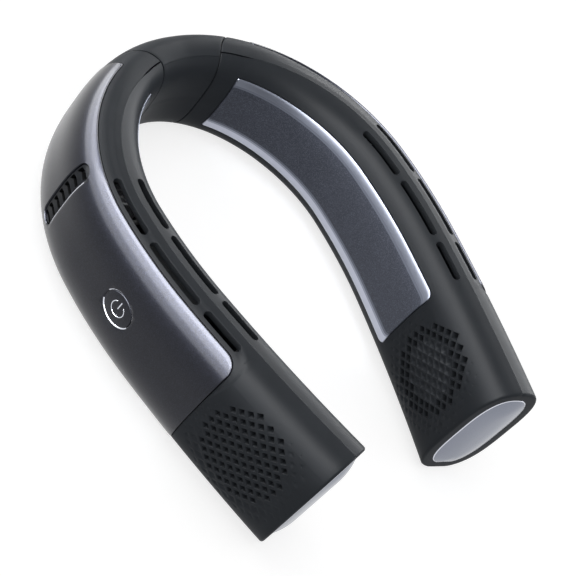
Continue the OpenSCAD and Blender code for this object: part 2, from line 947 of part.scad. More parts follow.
// Charging port in the left arm's underside
port_s = 186;
port_a = 7;
port_w = 8.9;
port_t = 3.2;
port_deep = 7.5;
port_up = 0.7;
port_wall = 0.3;
tongue_t = 0.7;
tongue_in = 1.2;
module port_outline(inset) {
    square([port_t - 2 * inset, port_w - port_t], center = true);
    for (end = [-1, 1])
        translate([0, end * (port_w - port_t) / 2])
            circle(r = port_t / 2 - inset);
}
module port_hole() {
    at(port_s, port_a, -over)
        linear_extrude(port_deep + 3 * over)
            port_outline(-seat_gap);
}
module charging_port() {
    color("silver")
        on_left(true)
            at(port_s, port_a, port_up) {
                difference() {
                    linear_extrude(port_deep)
                        port_outline(0);
                    translate([0, 0, -over])
                        linear_extrude(port_deep + over - port_wall)
                            port_outline(port_wall);
                }
                translate([-tongue_t / 2, -port_w / 2 + tongue_in, tongue_in])
                    cube([tongue_t, port_w - 2 * tongue_in, port_deep - tongue_in - port_wall / 2]);
            }
}

bridge_outer_shell();
bridge_inner_shell();
hinge_strap();
bridge_screws();
outer_shell(true);  // left_outer_shell
inner_shell(true);  // left_inner_shell
outer_cover(true);  // left_outer_cover
vent_louvres(true);  // left_vent_louvres
cooling_plate(true);  // left_cooling_plate
cooling_chip(true);  // left_cooling_chip
heat_sink(true);  // left_heat_sink
battery(true);  // left_battery
fan_volute(true);  // left_fan_volute
fan_motor(true);  // left_fan_motor
fan_bush(true);  // left_fan_bush
fan_shaft(true);  // left_fan_shaft
impeller(true);  // left_impeller
end_cap(true);  // left_end_cap
hinge_bracket(true);  // left_hinge_bracket
hinge_pin(true);  // left_hinge_pin
arm_screws(true);  // left_arm_screws
outer_shell(false);  // right_outer_shell
inner_shell(false);  // right_inner_shell
outer_cover(false);  // right_outer_cover
vent_louvres(false);  // right_vent_louvres
cooling_plate(false);  // right_cooling_plate
cooling_chip(false);  // right_cooling_chip
heat_sink(false);  // right_heat_sink
battery(false);  // right_battery
fan_volute(false);  // right_fan_volute
fan_motor(false);  // right_fan_motor
fan_bush(false);  // right_fan_bush
fan_shaft(false);  // right_fan_shaft
impeller(false);  // right_impeller
end_cap(false);  // right_end_cap
hinge_bracket(false);  // right_hinge_bracket
hinge_pin(false);  // right_hinge_pin
arm_screws(false);  // right_arm_screws
power_button();
button_switch();
control_board();
charging_port();
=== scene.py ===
"""Dresses the electric neck fan: two arms hinged on a short bridge behind the neck.

Lengths are in metres and turns in radians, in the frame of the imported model. A station is a
distance along the ridge line, counted from the middle of the bridge. Across an arm, a is the
distance outwards from the ridge line and z is the height. Every piece is first shaped for the
arm at positive X, and the other arm's pieces are its mirror.
"""

import logging
import math
from collections.abc import Callable, Sequence
from dataclasses import dataclass
from enum import Enum
from functools import cache, cached_property

import bmesh
import bpy
import numpy as np
from mathutils import Matrix, Vector


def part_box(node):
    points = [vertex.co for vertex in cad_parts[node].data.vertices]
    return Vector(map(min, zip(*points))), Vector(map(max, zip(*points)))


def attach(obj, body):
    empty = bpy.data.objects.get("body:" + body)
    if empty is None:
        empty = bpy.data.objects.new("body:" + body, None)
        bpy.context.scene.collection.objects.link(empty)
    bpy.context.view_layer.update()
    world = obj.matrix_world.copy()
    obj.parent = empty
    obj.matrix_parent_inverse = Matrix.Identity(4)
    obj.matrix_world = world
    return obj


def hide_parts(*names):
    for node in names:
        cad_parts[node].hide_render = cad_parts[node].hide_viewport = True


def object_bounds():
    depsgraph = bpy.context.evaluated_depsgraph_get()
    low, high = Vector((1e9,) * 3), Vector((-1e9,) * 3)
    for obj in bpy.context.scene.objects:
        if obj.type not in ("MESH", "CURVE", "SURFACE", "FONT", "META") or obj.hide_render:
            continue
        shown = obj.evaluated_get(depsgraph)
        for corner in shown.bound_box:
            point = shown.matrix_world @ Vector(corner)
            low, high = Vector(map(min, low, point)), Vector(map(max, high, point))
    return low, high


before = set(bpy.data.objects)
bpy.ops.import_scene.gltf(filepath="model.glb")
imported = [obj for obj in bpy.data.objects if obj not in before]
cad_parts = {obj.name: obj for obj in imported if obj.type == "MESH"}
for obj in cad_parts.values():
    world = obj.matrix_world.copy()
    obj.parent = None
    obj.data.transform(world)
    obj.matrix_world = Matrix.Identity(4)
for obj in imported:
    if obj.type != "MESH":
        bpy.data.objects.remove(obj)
CAD_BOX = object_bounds()

LOG = logging.getLogger("neck_fan")
MM = 0.001
QUARTER = math.pi / 2
# Steps along a slot's straight side for each on a quarter of its round end
SLOT_SIDE = 4
# Shares closer than this are the same
SAME = 1e-9
# Times that a search halves its stretch
HALVINGS = 24
Flat = tuple[float, float]
Triple = tuple[float, float, float]
Colour = Triple
# Sink below the skin and growth of the outline, at each ring of a hole
Levels = Sequence[Flat]
Outline = Callable[[float], list[Flat]]
Mesh = bmesh.types.BMesh
Finishes = Sequence[bpy.types.Material]


class Side(Enum):
    """One arm: the sign of its X, and the first word of its nodes' names."""

    LEFT = -1
    RIGHT = 1

    @property
    def word(self) -> str:
        """First word of the names of this arm's nodes."""
        return self.name.lower()

    @property
    def body(self) -> str:
        """Name of the body that this arm's pieces ride on."""
        return f"{self.word}_arm"

    def node(self, name: str) -> str:
        """Name of one of this arm's nodes."""
        return f"{self.word}_{name}"


class Face(Enum):
    """Upright side of an arm: the sign of its distance from the section's middle."""

    OUTER = 1
    INNER = -1


def spread(start: float, end: float, count: int) -> list[float]:
    """Even steps from one value to another.

    Args:
        start: First value.
        end: Last value.
        count: Number of steps between them.

    Returns:
        count + 1 values.
    """
    return [start + (end - start) * k / count for k in range(count + 1)]


def ease(x: float) -> float:
    """Smooth rise from 0 at x = 0 to 1 at x = 1."""
    x = min(1.0, max(0.0, x))
    return x * x * (3 - 2 * x)


def signed_power(x: float, power: float) -> float:
    """Power of a number's size, with the number's own sign."""
    return math.copysign(abs(x) ** power, x)


@dataclass(frozen=True)
class NeckLoop:
    """The ridge line round the neck and the rounded section that follows it."""

    neck_r: float = 80 * MM
    neck_turn: float = math.radians(88)
    cheek_r: float = 236 * MM
    cheek_turn: float = math.radians(12)
    arm_r: float = 906 * MM
    half_len: float = 266 * MM
    out_w: float = 18.5 * MM
    front_in_w: float = 18.5 * MM
    back_in_w: float = 6.2 * MM
    back_h: float = 55.5 * MM
    front_h: float = CAD_BOX[1].z
    rise_power: float = 1.2
    ease_len: float = 65 * MM
    side_n: float = 2.5
    top_n: float = 3.2
    foot_cut: float = 0.5 * MM
    # Soft crease along the ridge line
    crease: float = 0.2 * MM
    crease_w: float = 3 * MM

    @property
    def neck_len(self) -> float:
        """Station at which the arc round the neck ends."""
        return self.neck_r * self.neck_turn

    @property
    def taper_len(self) -> float:
        """Station at which the arc beside the jaw ends."""
        return self.neck_len + self.cheek_r * self.cheek_turn

    @cached_property
    def mid_y(self) -> float:
        """Y of the middle of the whole fan, counted from the ridge line's start."""
        end = self.half_len
        front_y = self.ridge(end).y + self.out_w * math.cos(self.heading(end))
        return (self.out_w + front_y) / 2

    def heading(self, s: float) -> float:
        """Heading of the ridge line.

        Args:
            s: Station.

        Returns:
            The turn from the heading at the middle of the bridge.
        """
        if s <= self.neck_len:
            return s / self.neck_r
        if s <= self.taper_len:
            return self.neck_turn + (s - self.neck_len) / self.cheek_r
        return self.neck_turn + self.cheek_turn + (s - self.taper_len) / self.arm_r

    def ridge(self, s: float) -> Vector:
        """Point of the ridge line, counted from the line's start.

        Args:
            s: Station.

        Returns:
            The point.
        """
        turn, after_neck = self.heading(s), self.neck_turn
        after_cheek = after_neck + self.cheek_turn
        arcs = (
            (self.neck_r, 0.0, after_neck),
            (self.cheek_r, after_neck, after_cheek),
            (self.arm_r, after_cheek, turn),
        )
        point = Vector((0.0, 0.0))
        for r, low, high in arcs:
            if low == 0 or turn > low:
                end = min(turn, high)
                way = (math.sin(end) - math.sin(low), math.cos(end) - math.cos(low))
                point += r * Vector(way)
        return point

    def spot(self, s: float, a: float, z: float) -> Vector:
        """Point at a station, a distance outwards from the ridge line and a height."""
        line, t = self.ridge(s), self.heading(s)
        return Vector((line.x + a * math.sin(t), line.y + a * math.cos(t) - self.mid_y, z))

    def seat(self, s: float, a: float, z: float) -> Matrix:
        """Place at a station whose X points outwards and Y back towards the bridge."""
        turn = Matrix.Rotation(QUARTER - self.heading(s), 4, "Z")
        return Matrix.Translation(self.spot(s, a, z)) @ turn

    def height(self, s: float) -> float:
        """Height of the section at a station."""
        rise = (abs(s) / self.half_len) ** self.rise_power
        return self.back_h + (self.front_h - self.back_h) * rise

    def halves(self, s: float) -> tuple[float, float, float, float]:
        """Half sizes and middle of the section.

        Args:
            s: Station.

        Returns:
            The half width, middle a, half height and middle z.
        """
        narrowed = (self.front_in_w - self.back_in_w) * math.exp(-((s / self.ease_len) ** 2))
        in_w = self.front_in_w - narrowed
        tall = self.height(s)
        return (
            (self.out_w + in_w) / 2,
            (self.out_w - in_w) / 2,
            (tall + self.foot_cut) / 2,
            (tall - self.foot_cut) / 2,
        )

    def rim(self, s: float, u: float, sink: float) -> Flat:
        """Distance a and height z of the skin at a turn round the section.

        Args:
            s: Station.
            u: Turn round the section, from the middle of the outer side over the top.
            sink: Depth below the skin.

        Returns:
            The distance a and the height z.
        """
        half_a, mid_a, half_z, mid_z = self.halves(s)
        a = mid_a + (half_a - sink) * signed_power(math.cos(u), 2 / self.side_n)
        z = mid_z + (half_z - sink) * signed_power(math.sin(u), 2 / self.top_n)
        return a, max(sink, z)

    def skin(self, s: float, u: float, sink: float) -> Vector:
        """Point of the skin, or below it, at a station and a turn round the section."""
        return self.spot(s, *self.rim(s, u, sink))

    def turn_at_a(self, s: float, a: float) -> float:
        """Turn at which the top of the section crosses a distance from the ridge line."""
        half_a, mid_a, _, _ = self.halves(s)
        return math.acos(signed_power((a - mid_a) / half_a, self.side_n / 2))

    def turn_at_share(self, s: float, share: float) -> float:
        """Turn on the outer side at which the section reaches a share of its height."""
        _, _, half_z, mid_z = self.halves(s)
        return math.asin(signed_power((share * self.height(s) - mid_z) / half_z, self.top_n / 2))

    def on_top(self, s: float, a: float, sink: float) -> Vector:
        """Point below the top of the section, at a distance from the ridge line."""
        return self.spot(s, a, self.rim(s, self.turn_at_a(s, a), sink)[1])

    def on_face(self, s: float, z: float, sink: float, face: Face) -> Vector:
        """Point below an upright side of the section.

        Args:
            s: Station.
            z: Height.
            sink: Depth below the skin.
            face: The side.

        Returns:
            The point.
        """
        half_a, mid_a, half_z, mid_z = self.halves(s)
        rise = min(1.0, abs(z - mid_z) / (half_z - sink))
        reach = (half_a - sink) * (1 - rise**self.top_n) ** (1 / self.side_n)
        return self.spot(s, mid_a + face.value * reach, z)

    def crease_sink(self, s: float, u: float) -> float:
        """Depth of the crease along the ridge line.

        Args:
            s: Station.
            u: Turn round the section.

        Returns:
            How far the skin lies below the plain section.
        """
        if math.sin(u) <= 0:
            return 0.0
        a = abs(self.rim(s, u, 0.0)[0]) / self.crease_w
        return self.crease * a * math.exp(1 - a)


class Girth:
    """The rim of one station, walked round from the middle of the outer side over the top."""

    SAMPLES = 540
    # How much the samples crowd at the quarter turns, where the rim runs on fastest
    CROWD = 0.93

    def __init__(self, loop: NeckLoop, s: float) -> None:
        """Walk round the section.

        Args:
            loop: The neck loop.
            s: Station.
        """
        even = np.linspace(-math.pi, 2 * math.pi, self.SAMPLES + 1)
        self.turns = even - self.CROWD * np.sin(4 * even) / 4
        rims = np.array([loop.rim(s, u, 0.0) for u in self.turns])
        walked = np.concatenate([[0.0], np.cumsum(np.hypot(*np.diff(rims, axis=0).T))])
        self.lengths = walked - np.interp(0.0, self.turns, walked)

    def turn(self, length: float) -> float:
        """Turn at a length walked."""
        return float(np.interp(length, self.lengths, self.turns))

    def length(self, turn: float) -> float:
        """Length walked to a turn."""
        return float(np.interp(turn, self.turns, self.lengths))


@cache
def girth(loop: NeckLoop, s: float) -> Girth:
    """The rim of a station, walked once."""
    return Girth(loop, s)


def ring_edges(ring: Sequence[bmesh.types.BMVert]) -> list[bmesh.types.BMEdge]:
    """Edges of a new ring, in the same order each run."""
    return list(dict.fromkeys(edge for vert in ring for edge in vert.link_edges))


class Loft:
    """A skin that grows ring by ring, each ring with the same count of points."""

    def __init__(self, mesh: Mesh, ring: Sequence[Vector]) -> None:
        """Start the skin.

        Args:
            mesh: Mesh that the skin is added to.
            ring: Points of the first ring.
        """
        self.mesh = mesh
        layers = mesh.verts.layers.int
        self.place = layers.get("place") or layers.new("place")
        made = bmesh.ops.create_circle(mesh, segments=len(ring), radius=1.0)["verts"]
        for k, vert in enumerate(made):
            vert[self.place] = k
            vert.co = ring[k]
        self.ring = list(made)
        self.edges = ring_edges(made)

    def grow(self, ring: Sequence[Vector], finishes: Sequence[int] = ()) -> None:
        """Add a ring.

        Args:
            ring: Points of the new ring.
            finishes: Material of the faces after each point, or nothing for the first material.
        """
        made = bmesh.ops.extrude_edge_only(self.mesh, edges=self.edges)["geom"]
        verts = [item for item in made if isinstance(item, bmesh.types.BMVert)]
        self.edges = [item for item in made if isinstance(item, bmesh.types.BMEdge)]
        self.ring = sorted(verts, key=lambda vert: vert[self.place])
        for vert, point in zip(self.ring, ring):
            vert.co = point
        if finishes:
            for face in (item for item in made if isinstance(item, bmesh.types.BMFace)):
                at = sorted({vert[self.place] for vert in face.verts})
                wraps = at[-1] - at[0] > 1
                face.material_index = finishes[at[-1] if wraps else at[0]]

    def quad(self, *corners: bmesh.types.BMVert) -> None:
        """Lay a face between corners, leaving out any that are the same."""
        different = list(dict.fromkeys(corners))
        if len(different) > 2:
            bmesh.ops.contextual_create(self.mesh, geom=different)

    def fold(self, row: Sequence[bmesh.types.BMVert]) -> None:
        """Close a row of points onto itself, the first point to the last and so on.

        Args:
            row: The points, which needn't join at their ends.
        """
        last = len(row) - 1
        for k in range(len(row) // 2):
            self.quad(row[k], row[k + 1], row[last - k - 1], row[last - k])

    def fold_walls(self, ring: Sequence[bmesh.types.BMVert]) -> None:
        """Close a hollow half's end: its outside, its inside and the seam between them.

        Args:
            ring: Points of the outside, then those of the inside on the way back.
        """
        half = len(ring) // 2
        self.fold(ring[:half])
        self.fold(ring[half:])
        self.quad(ring[0], ring[half - 1], ring[half], ring[-1])


def add_solid(
    mesh: Mesh,
    rings: Sequence[Sequence[Vector]],
    finishes: Sequence[int] = (),
    all_flanks: bool = False,
) -> None:
    """Add a closed solid through rings of points.

    Args:
        mesh: Mesh that the solid is added to.
        rings: The rings, from one end to the other.
        finishes: Material of the first flank after each point.
        all_flanks: Whether the other flanks have those materials too.
    """
    loft = Loft(mesh, rings[0])
    loft.fold(loft.ring)
    for k, ring in enumerate(rings[1:]):
        loft.grow(ring, finishes if k == 0 or all_flanks else ())
    loft.fold(loft.ring)


class Bench:
    """Turns meshes into finished pieces that ride on the bodies."""

    SHARP = math.radians(38)
    MERGE = 0.001 * MM

    def _object(self, name: str, mesh: Mesh, side: Side, finishes: Finishes) -> bpy.types.Object:
        """Write a mesh out as an object with outward normals.

        Args:
            name: Name of the object.
            mesh: The mesh, which is used up.
            side: The arm that it belongs to.
            finishes: Its materials.

        Returns:
            The new object.
        """
        if side is Side.LEFT:
            bmesh.ops.transform(mesh, matrix=Matrix.Scale(-1, 4, (1, 0, 0)), verts=mesh.verts)
        bmesh.ops.remove_doubles(mesh, verts=mesh.verts, dist=self.MERGE)
        bmesh.ops.recalc_face_normals(mesh, faces=mesh.faces)
        data = bpy.data.meshes.new(name)
        mesh.to_mesh(data)
        mesh.free()
        for finish in finishes:
            data.materials.append(finish)
        made = bpy.data.objects.new(name, data)
        bpy.context.scene.collection.objects.link(made)
        return made

    @staticmethod
    def _carve(piece: bpy.types.Object, cutter: bpy.types.Object) -> None:
        """Take a cutter out of a piece, and the cutter out of the scene.

        Args:
            piece: The piece, whose mesh is replaced.
            cutter: The closed solids to take out.
        """
        cut = piece.modifiers.new("cut", "BOOLEAN")
        cut.operation = "DIFFERENCE"
        cut.solver = "EXACT"
        cut.use_self = True
        cut.material_mode = "TRANSFER"
        cut.object = cutter
        graph = bpy.context.evaluated_depsgraph_get()
        carved = bpy.data.meshes.new_from_object(piece.evaluated_get(graph))
        if len(carved.polygons) < len(piece.data.polygons):
            raise RuntimeError(f"{cutter.name} takes away more than it should")
        piece.modifiers.clear()
        piece.data = carved
        bpy.data.objects.remove(cutter)

    def lay(
        self,
        name: str,
        mesh: Mesh,
        side: Side,
        finishes: Finishes,
        body: str,
        nodes: Sequence[str],
        cutter: Mesh | None = None,
    ) -> None:
        """Finish a piece.

        Args:
            name: Name of the piece.
            mesh: Its mesh, shaped for the arm at positive X.
            side: The arm that it belongs to, and RIGHT for what isn't mirrored.
            finishes: Its materials.
            body: Body that it rides on.
            nodes: Nodes that it stands for.
            cutter: What is taken out of it.
        """
        piece = self._object(name, mesh, side, finishes)
        if cutter is not None:
            self._carve(piece, self._object(f"{name}_cutter", cutter, side, finishes))
        piece.data.shade_smooth()
        piece.data.set_sharp_from_angle(angle=self.SHARP)
        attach(piece, body)
        if nodes:
            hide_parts(*nodes)
        LOG.info("%s rides on %s with %d faces", name, body, len(piece.data.polygons))


class Signal:
    """A socket that carries a number, with the arithmetic of one."""

    def __init__(self, graph: "Graph", socket: bpy.types.NodeSocket) -> None:
        """Wrap a socket of a graph."""
        self.graph = graph
        self.socket = socket

    def _math(self, operation: str, *values: "Signal | float") -> "Signal":
        """Add a Math node on values in the order given."""
        return self.graph.node("ShaderNodeMath", {"operation": operation}, dict(enumerate(values)))

    def __add__(self, other: "Signal | float") -> "Signal":
        """Sum."""
        return self._math("ADD", self, other)

    def __sub__(self, other: "Signal | float") -> "Signal":
        """Difference."""
        return self._math("SUBTRACT", self, other)

    def __rsub__(self, other: float) -> "Signal":
        """Difference from a number."""
        return self._math("SUBTRACT", other, self)

    def __mul__(self, other: "Signal | float") -> "Signal":
        """Product."""
        return self._math("MULTIPLY", self, other)

    def __pow__(self, other: float) -> "Signal":
        """Power."""
        return self._math("POWER", self, other)

    __radd__ = __add__
    __rmul__ = __mul__

    def over(self, edge: float) -> "Signal":
        """One where the signal is over an edge, and else zero."""
        return self._math("GREATER_THAN", self, edge)

    def at_most(self, limit: float) -> "Signal":
        """The signal, held to a limit."""
        return self._math("MINIMUM", self, limit)

    def mixed(self, other: "Signal", share: float) -> "Signal":
        """A share of this signal and the rest of another."""
        return self * share + other * (1 - share)


class Graph:
    """A tree of nodes."""

    def __init__(self, tree: bpy.types.NodeTree) -> None:
        """Work on a tree."""
        self.tree = tree

    def fill(self, socket: bpy.types.NodeSocket, value: object) -> None:
        """Give a socket a value or a link.

        Args:
            socket: The socket.
            value: A signal, or a plain value.
        """
        if isinstance(value, Signal):
            self.tree.links.new(value.socket, socket)
        else:
            socket.default_value = value

    def node(
        self,
        kind: str,
        settings: dict[str, object],
        inputs: dict[str | int, object],
        output: str | int = 0,
    ) -> Signal:
        """Add a node.

        Args:
            kind: Type of the node.
            settings: Its settings, which are set first.
            inputs: Values or links of its sockets, by name or number.
            output: Name or number of the output that is used.

        Returns:
            That output.
        """
        made = self.tree.nodes.new(kind)
        for key, value in settings.items():
            setattr(made, key, value)
        for key, value in inputs.items():
            self.fill(made.inputs[key], value)
        return Signal(self, made.outputs[output])


class FinishGraph(Graph):
    """The nodes of one material, round one Principled shader."""

    # Numbers of the Mix node's factor, its two colours and its colour output
    MIX = (0, 6, 7, 2)

    def __init__(self, name: str) -> None:
        """Start a material.

        Args:
            name: Name of the material.
        """
        self.material = bpy.data.materials.new(name)
        self.material.use_nodes = True
        super().__init__(self.material.node_tree)
        self.here = self.node("ShaderNodeTexCoord", {}, {}, "Object")

    def noise(self, size: float, detail: float = 2.0) -> Signal:
        """Noise with features of a real size, from 0 to 1."""
        inputs = {"Vector": self.here, "Scale": 1 / size, "Detail": detail}
        return self.node("ShaderNodeTexNoise", {}, inputs, "Fac")

    def flakes(self, size: float) -> Signal:
        """Flakes with their own levels.

        Args:
            size: Real size of a flake.

        Returns:
            The level, from 0 to 1.
        """
        inputs = {"Vector": self.here, "Scale": 1 / size}
        colour = self.node("ShaderNodeTexVoronoi", {}, inputs, "Color")
        return self.node("ShaderNodeSeparateColor", {}, {0: colour}, "Red")

    def lines(self, pitch: float, waver: float) -> Signal:
        """Waves up the piece, at a real pitch."""
        inputs = {"Vector": self.here, "Scale": 1 / pitch, "Distortion": waver}
        return self.node("ShaderNodeTexWave", {"bands_direction": "Z"}, inputs, "Fac")

    def blend(self, share: Signal, low: Colour, high: Colour) -> Signal:
        """Colour between two.

        Args:
            share: Share of the second colour.
            low: First colour.
            high: Second colour.

        Returns:
            The colour.
        """
        factor, first, second, result = self.MIX
        inputs = {factor: share, first: (*low, 1.0), second: (*high, 1.0)}
        return self.node("ShaderNodeMix", {"data_type": "RGBA"}, inputs, result)

    @staticmethod
    def uneven(level: float, change: Triple, fine: Signal, broad: Signal) -> Signal:
        """Roughness that changes with a fine and a broad pattern.

        Args:
            level: Plain roughness.
            change: What is added everywhere, with the fine pattern and with the broad one.
            fine: The fine pattern.
            broad: The broad pattern.

        Returns:
            The roughness.
        """
        everywhere, by_fine, by_broad = change
        return level + everywhere + fine * by_fine + broad * by_broad

    def bump(self, height: Signal, depth: float) -> Signal:
        """Normal of a relief of a real depth."""
        return self.node("ShaderNodeBump", {}, {"Height": height, "Distance": depth}, "Normal")

    def finish(self, **sockets: object) -> bpy.types.Material:
        """Set the shader's sockets, with _ for a space in their names.

        Args:
            sockets: Values or links.

        Returns:
            The material.
        """
        shader = self.tree.nodes["Principled BSDF"]
        for name, value in sockets.items():
            self.fill(shader.inputs[name.replace("_", " ")], value)
        return self.material


def tint(colour: Colour, factor: float) -> Colour:
    """A colour times a factor."""
    return tuple(min(1.0, part * factor) for part in colour)


@dataclass(frozen=True)
class MouldedPlastic:
    """Matte moulded plastic with a fine spark-eroded grain."""

    name: str
    colour: Colour
    roughness: float = 0.42
    change: Triple = (-0.05, 0.06, 0.05)
    gloss: float = 0.06
    grain: float = 0.16 * MM
    depth: float = 0.006 * MM
    # Broad clouds: their size in grains, their share of the colour, and the colour's two shades
    cloud_grains: float = 60
    cloud_share: float = 0.6
    shades: Flat = (0.86, 1.16)

    def build(self) -> bpy.types.Material:
        """Make the material.

        Returns:
            The material.
        """
        graph = FinishGraph(self.name)
        grain = graph.noise(self.grain, detail=3.0)
        clouds = graph.noise(self.cloud_grains * self.grain)
        low, high = (tint(self.colour, shade) for shade in self.shades)
        return graph.finish(
            Base_Color=graph.blend(clouds.mixed(grain, self.cloud_share), low, high),
            Roughness=graph.uneven(self.roughness, self.change, grain, clouds),
            Specular_IOR_Level=self.gloss,
            Normal=graph.bump(grain, self.depth),
        )


@dataclass(frozen=True)
class FlakePaint:
    """Metallic paint with fine flakes under a thin clear coat."""

    name: str
    colour: Colour
    spark: Colour
    metallic: float = 0.9
    roughness: float = 0.3
    change: Triple = (-0.04, 0.08, 0.03)
    coat: float = 0.32
    coat_roughness: float = 0.18
    flake: float = 0.22 * MM
    cloud_flakes: float = 40
    # Share of the spark on the brightest flake and in the clouds, and the flakes' contrast
    flake_share: float = 0.8
    cloud_share: float = 0.1
    contrast: float = 3.0

    def build(self) -> bpy.types.Material:
        """Make the material.

        Returns:
            The material.
        """
        graph = FinishGraph(self.name)
        flakes = graph.flakes(self.flake)
        clouds = graph.noise(self.cloud_flakes * self.flake)
        share = flakes**self.contrast * self.flake_share + clouds * self.cloud_share
        return graph.finish(
            Base_Color=graph.blend(share, self.colour, self.spark),
            Metallic=self.metallic,
            Roughness=graph.uneven(self.roughness, self.change, flakes, clouds),
            Coat_Weight=self.coat,
            Coat_Roughness=self.coat_roughness,
        )


@dataclass(frozen=True)
class SatinMetal:
    """Bright satin metal with a fine random polish."""

    name: str
    colour: Colour
    roughness: float = 0.24
    change: Triple = (-0.04, 0.07, 0.03)
    polish: float = 0.5 * MM
    depth: float = 0.002 * MM
    # Broad stains: their size in marks of the polish, their share, and the colour's two shades
    stain_marks: float = 50
    stain_share: float = 0.7
    shades: Flat = (0.92, 1.06)

    def build(self) -> bpy.types.Material:
        """Make the material.

        Returns:
            The material.
        """
        graph = FinishGraph(self.name)
        polish = graph.noise(self.polish, detail=4.0)
        stains = graph.noise(self.stain_marks * self.polish)
        low, high = (tint(self.colour, shade) for shade in self.shades)
        return graph.finish(
            Base_Color=graph.blend(stains.mixed(polish, self.stain_share), low, high),
            Metallic=1.0,
            Roughness=graph.uneven(self.roughness, self.change, polish, stains),
            Normal=graph.bump(polish, self.depth),
        )


@dataclass(frozen=True)
class Laminate:
    """Dull board or wrap with fine lines across it at one pitch."""

    name: str
    colour: Colour
    line: Colour
    pitch: float = 2.4 * MM
    # Height of the wave above which a line shows, and how much the lines waver
    level: float = 0.72
    waver: float = 0.4
    depth: float = 0.01 * MM
    line_share: float = 0.8
    # Plain roughness and what the grain adds, and the grain's size in pitches
    roughness: Flat = (0.4, 0.15)
    grain: float = 0.2

    def build(self) -> bpy.types.Material:
        """Make the material.

        Returns:
            The material.
        """
        graph = FinishGraph(self.name)
        lines = graph.lines(self.pitch, self.waver).over(self.level)
        grain = graph.noise(self.grain * self.pitch)
        plain, by_grain = self.roughness
        return graph.finish(
            Base_Color=graph.blend(lines.mixed(grain, self.line_share), self.colour, self.line),
            Roughness=plain + grain * by_grain,
            Normal=graph.bump(lines, self.depth),
        )


class Paints:
    """All the finishes of the fan."""

    def __init__(self) -> None:
        """Make every material once."""
        plastic, metal = MouldedPlastic, SatinMetal
        self.shell = plastic("graphite_shell", (0.033, 0.037, 0.043), gloss=0.03).build()
        self.dark = plastic("black_plastic", (0.005, 0.0055, 0.006)).build()
        self.louvre = plastic("louvre_plastic", (0.016, 0.018, 0.022), roughness=0.36).build()
        self.cover = FlakePaint(
            "blue_grey_gloss",
            colour=(0.0038, 0.0044, 0.0078),
            spark=(0.0165, 0.019, 0.031),
        ).build()
        self.plate = FlakePaint(
            "dark_anodised_plate",
            colour=(0.0195, 0.0225, 0.032),
            spark=(0.062, 0.069, 0.091),
            metallic=0.75,
            roughness=0.46,
            coat=0.0,
            flake=0.3 * MM,
        ).build()
        # Painted reflections on the cooling plate's long edges: lighter copies of its dark anodised
        # finish, graded from dim beside the face to pale along the lower edge
        self.painted_upper_band = metal("painted_reflection_upper_band", (0.13, 0.14, 0.17), roughness=0.34).build()
        self.painted_lower_band = metal("painted_reflection_lower_band", (0.38, 0.40, 0.47), roughness=0.3).build()
        self.painted_band_dim_step = metal("painted_reflection_dim_step", (0.09, 0.098, 0.122), roughness=0.4).build()
        self.painted_band_middle_step = metal("painted_reflection_middle_step", (0.2, 0.215, 0.26), roughness=0.34).build()
        self.silver = metal("satin_silver", (0.62, 0.64, 0.70)).build()
        self.cap = metal("cap_silver", (0.22, 0.235, 0.28), roughness=0.2).build()
        self.steel = metal("plated_steel", (0.42, 0.42, 0.43), roughness=0.3).build()
        self.brass = metal("sintered_bronze", (0.48, 0.32, 0.14), roughness=0.42).build()
        self.fins = metal("extruded_aluminium", (0.55, 0.56, 0.58), roughness=0.38).build()
        self.chip = Laminate("chip_ceramic", (0.78, 0.78, 0.75), line=(0.6, 0.6, 0.58)).build()
        # Near-black board: painted shade standing in for the dark inside of the casing seen through
        # the slots
        self.board = Laminate(
            "circuit_board",
            colour=(0.006, 0.009, 0.008),
            line=(0.05, 0.04, 0.015),
            pitch=1.6 * MM,
            level=0.8,
        ).build()
        self.wrap = Laminate(
            "battery_wrap",
            colour=(0.008, 0.012, 0.016),
            line=(0.005, 0.007, 0.01),
            pitch=9 * MM,
        ).build()


def stadium(half_long: float, r: float, steps: int) -> list[Flat]:
    """A slot's outline with round ends, from the middle of its first end round.

    Args:
        half_long: Middle of the slot to its ends.
        r: Radius of the ends.
        steps: Points on each quarter turn.

    Returns:
        Points along and across the slot, symmetrical about its long axis.
    """
    arc = spread(0.0, QUARTER, steps)
    core = half_long - r
    corner = [(-core - r * math.cos(t), r * math.sin(t)) for t in arc]
    across = spread(-core, core, SLOT_SIDE * steps)[1:-1]
    flank = corner + [(x, r) for x in across] + [(-x, y) for x, y in reversed(corner)]
    return flank + [(x, -y) for x, y in reversed(flank[1:-1])]


@dataclass(frozen=True)
class Patch:
    """Outline of a cover or plate that lies on the skin between two stations."""

    start: float
    end: float
    corner_start: float
    corner_end: float
    corner_steps: int = 8
    step: float = 2.6 * MM

    def stations(self) -> list[float]:
        """Stations from one end to the other, close together at the round corners.

        Returns:
            The stations.
        """
        arc = spread(0.0, QUARTER, self.corner_steps)
        low, high = self.start + self.corner_start, self.end - self.corner_end
        along = spread(low, high, math.ceil((high - low) / self.step))
        first = [low - self.corner_start * math.cos(t) for t in arc[:-1]]
        last = [high + self.corner_end * math.sin(t) for t in arc[1:]]
        return first + along + last

    def pull(self, s: float) -> float:
        """How far the long edges draw in for the round corners.

        Args:
            s: Station.

        Returns:
            The distance, which is 0 between the corners.
        """
        into_start = self.start + self.corner_start - s
        into_end = s - self.end + self.corner_end
        for r, into in ((self.corner_start, into_start), (self.corner_end, into_end)):
            if into > 0:
                return r - math.sqrt(max(0.0, r * r - min(into, r) ** 2))
        return 0.0


@dataclass(frozen=True)
class Ring:
    """One ring of a half shell."""

    station: float
    # Whether the cover's or plate's seat is sunk here
    seated: bool = False
    # Share of the way from the round end to the station, or None past the round end
    share: float | None = None
    # Depth below the skin
    shrink: float = 0.0


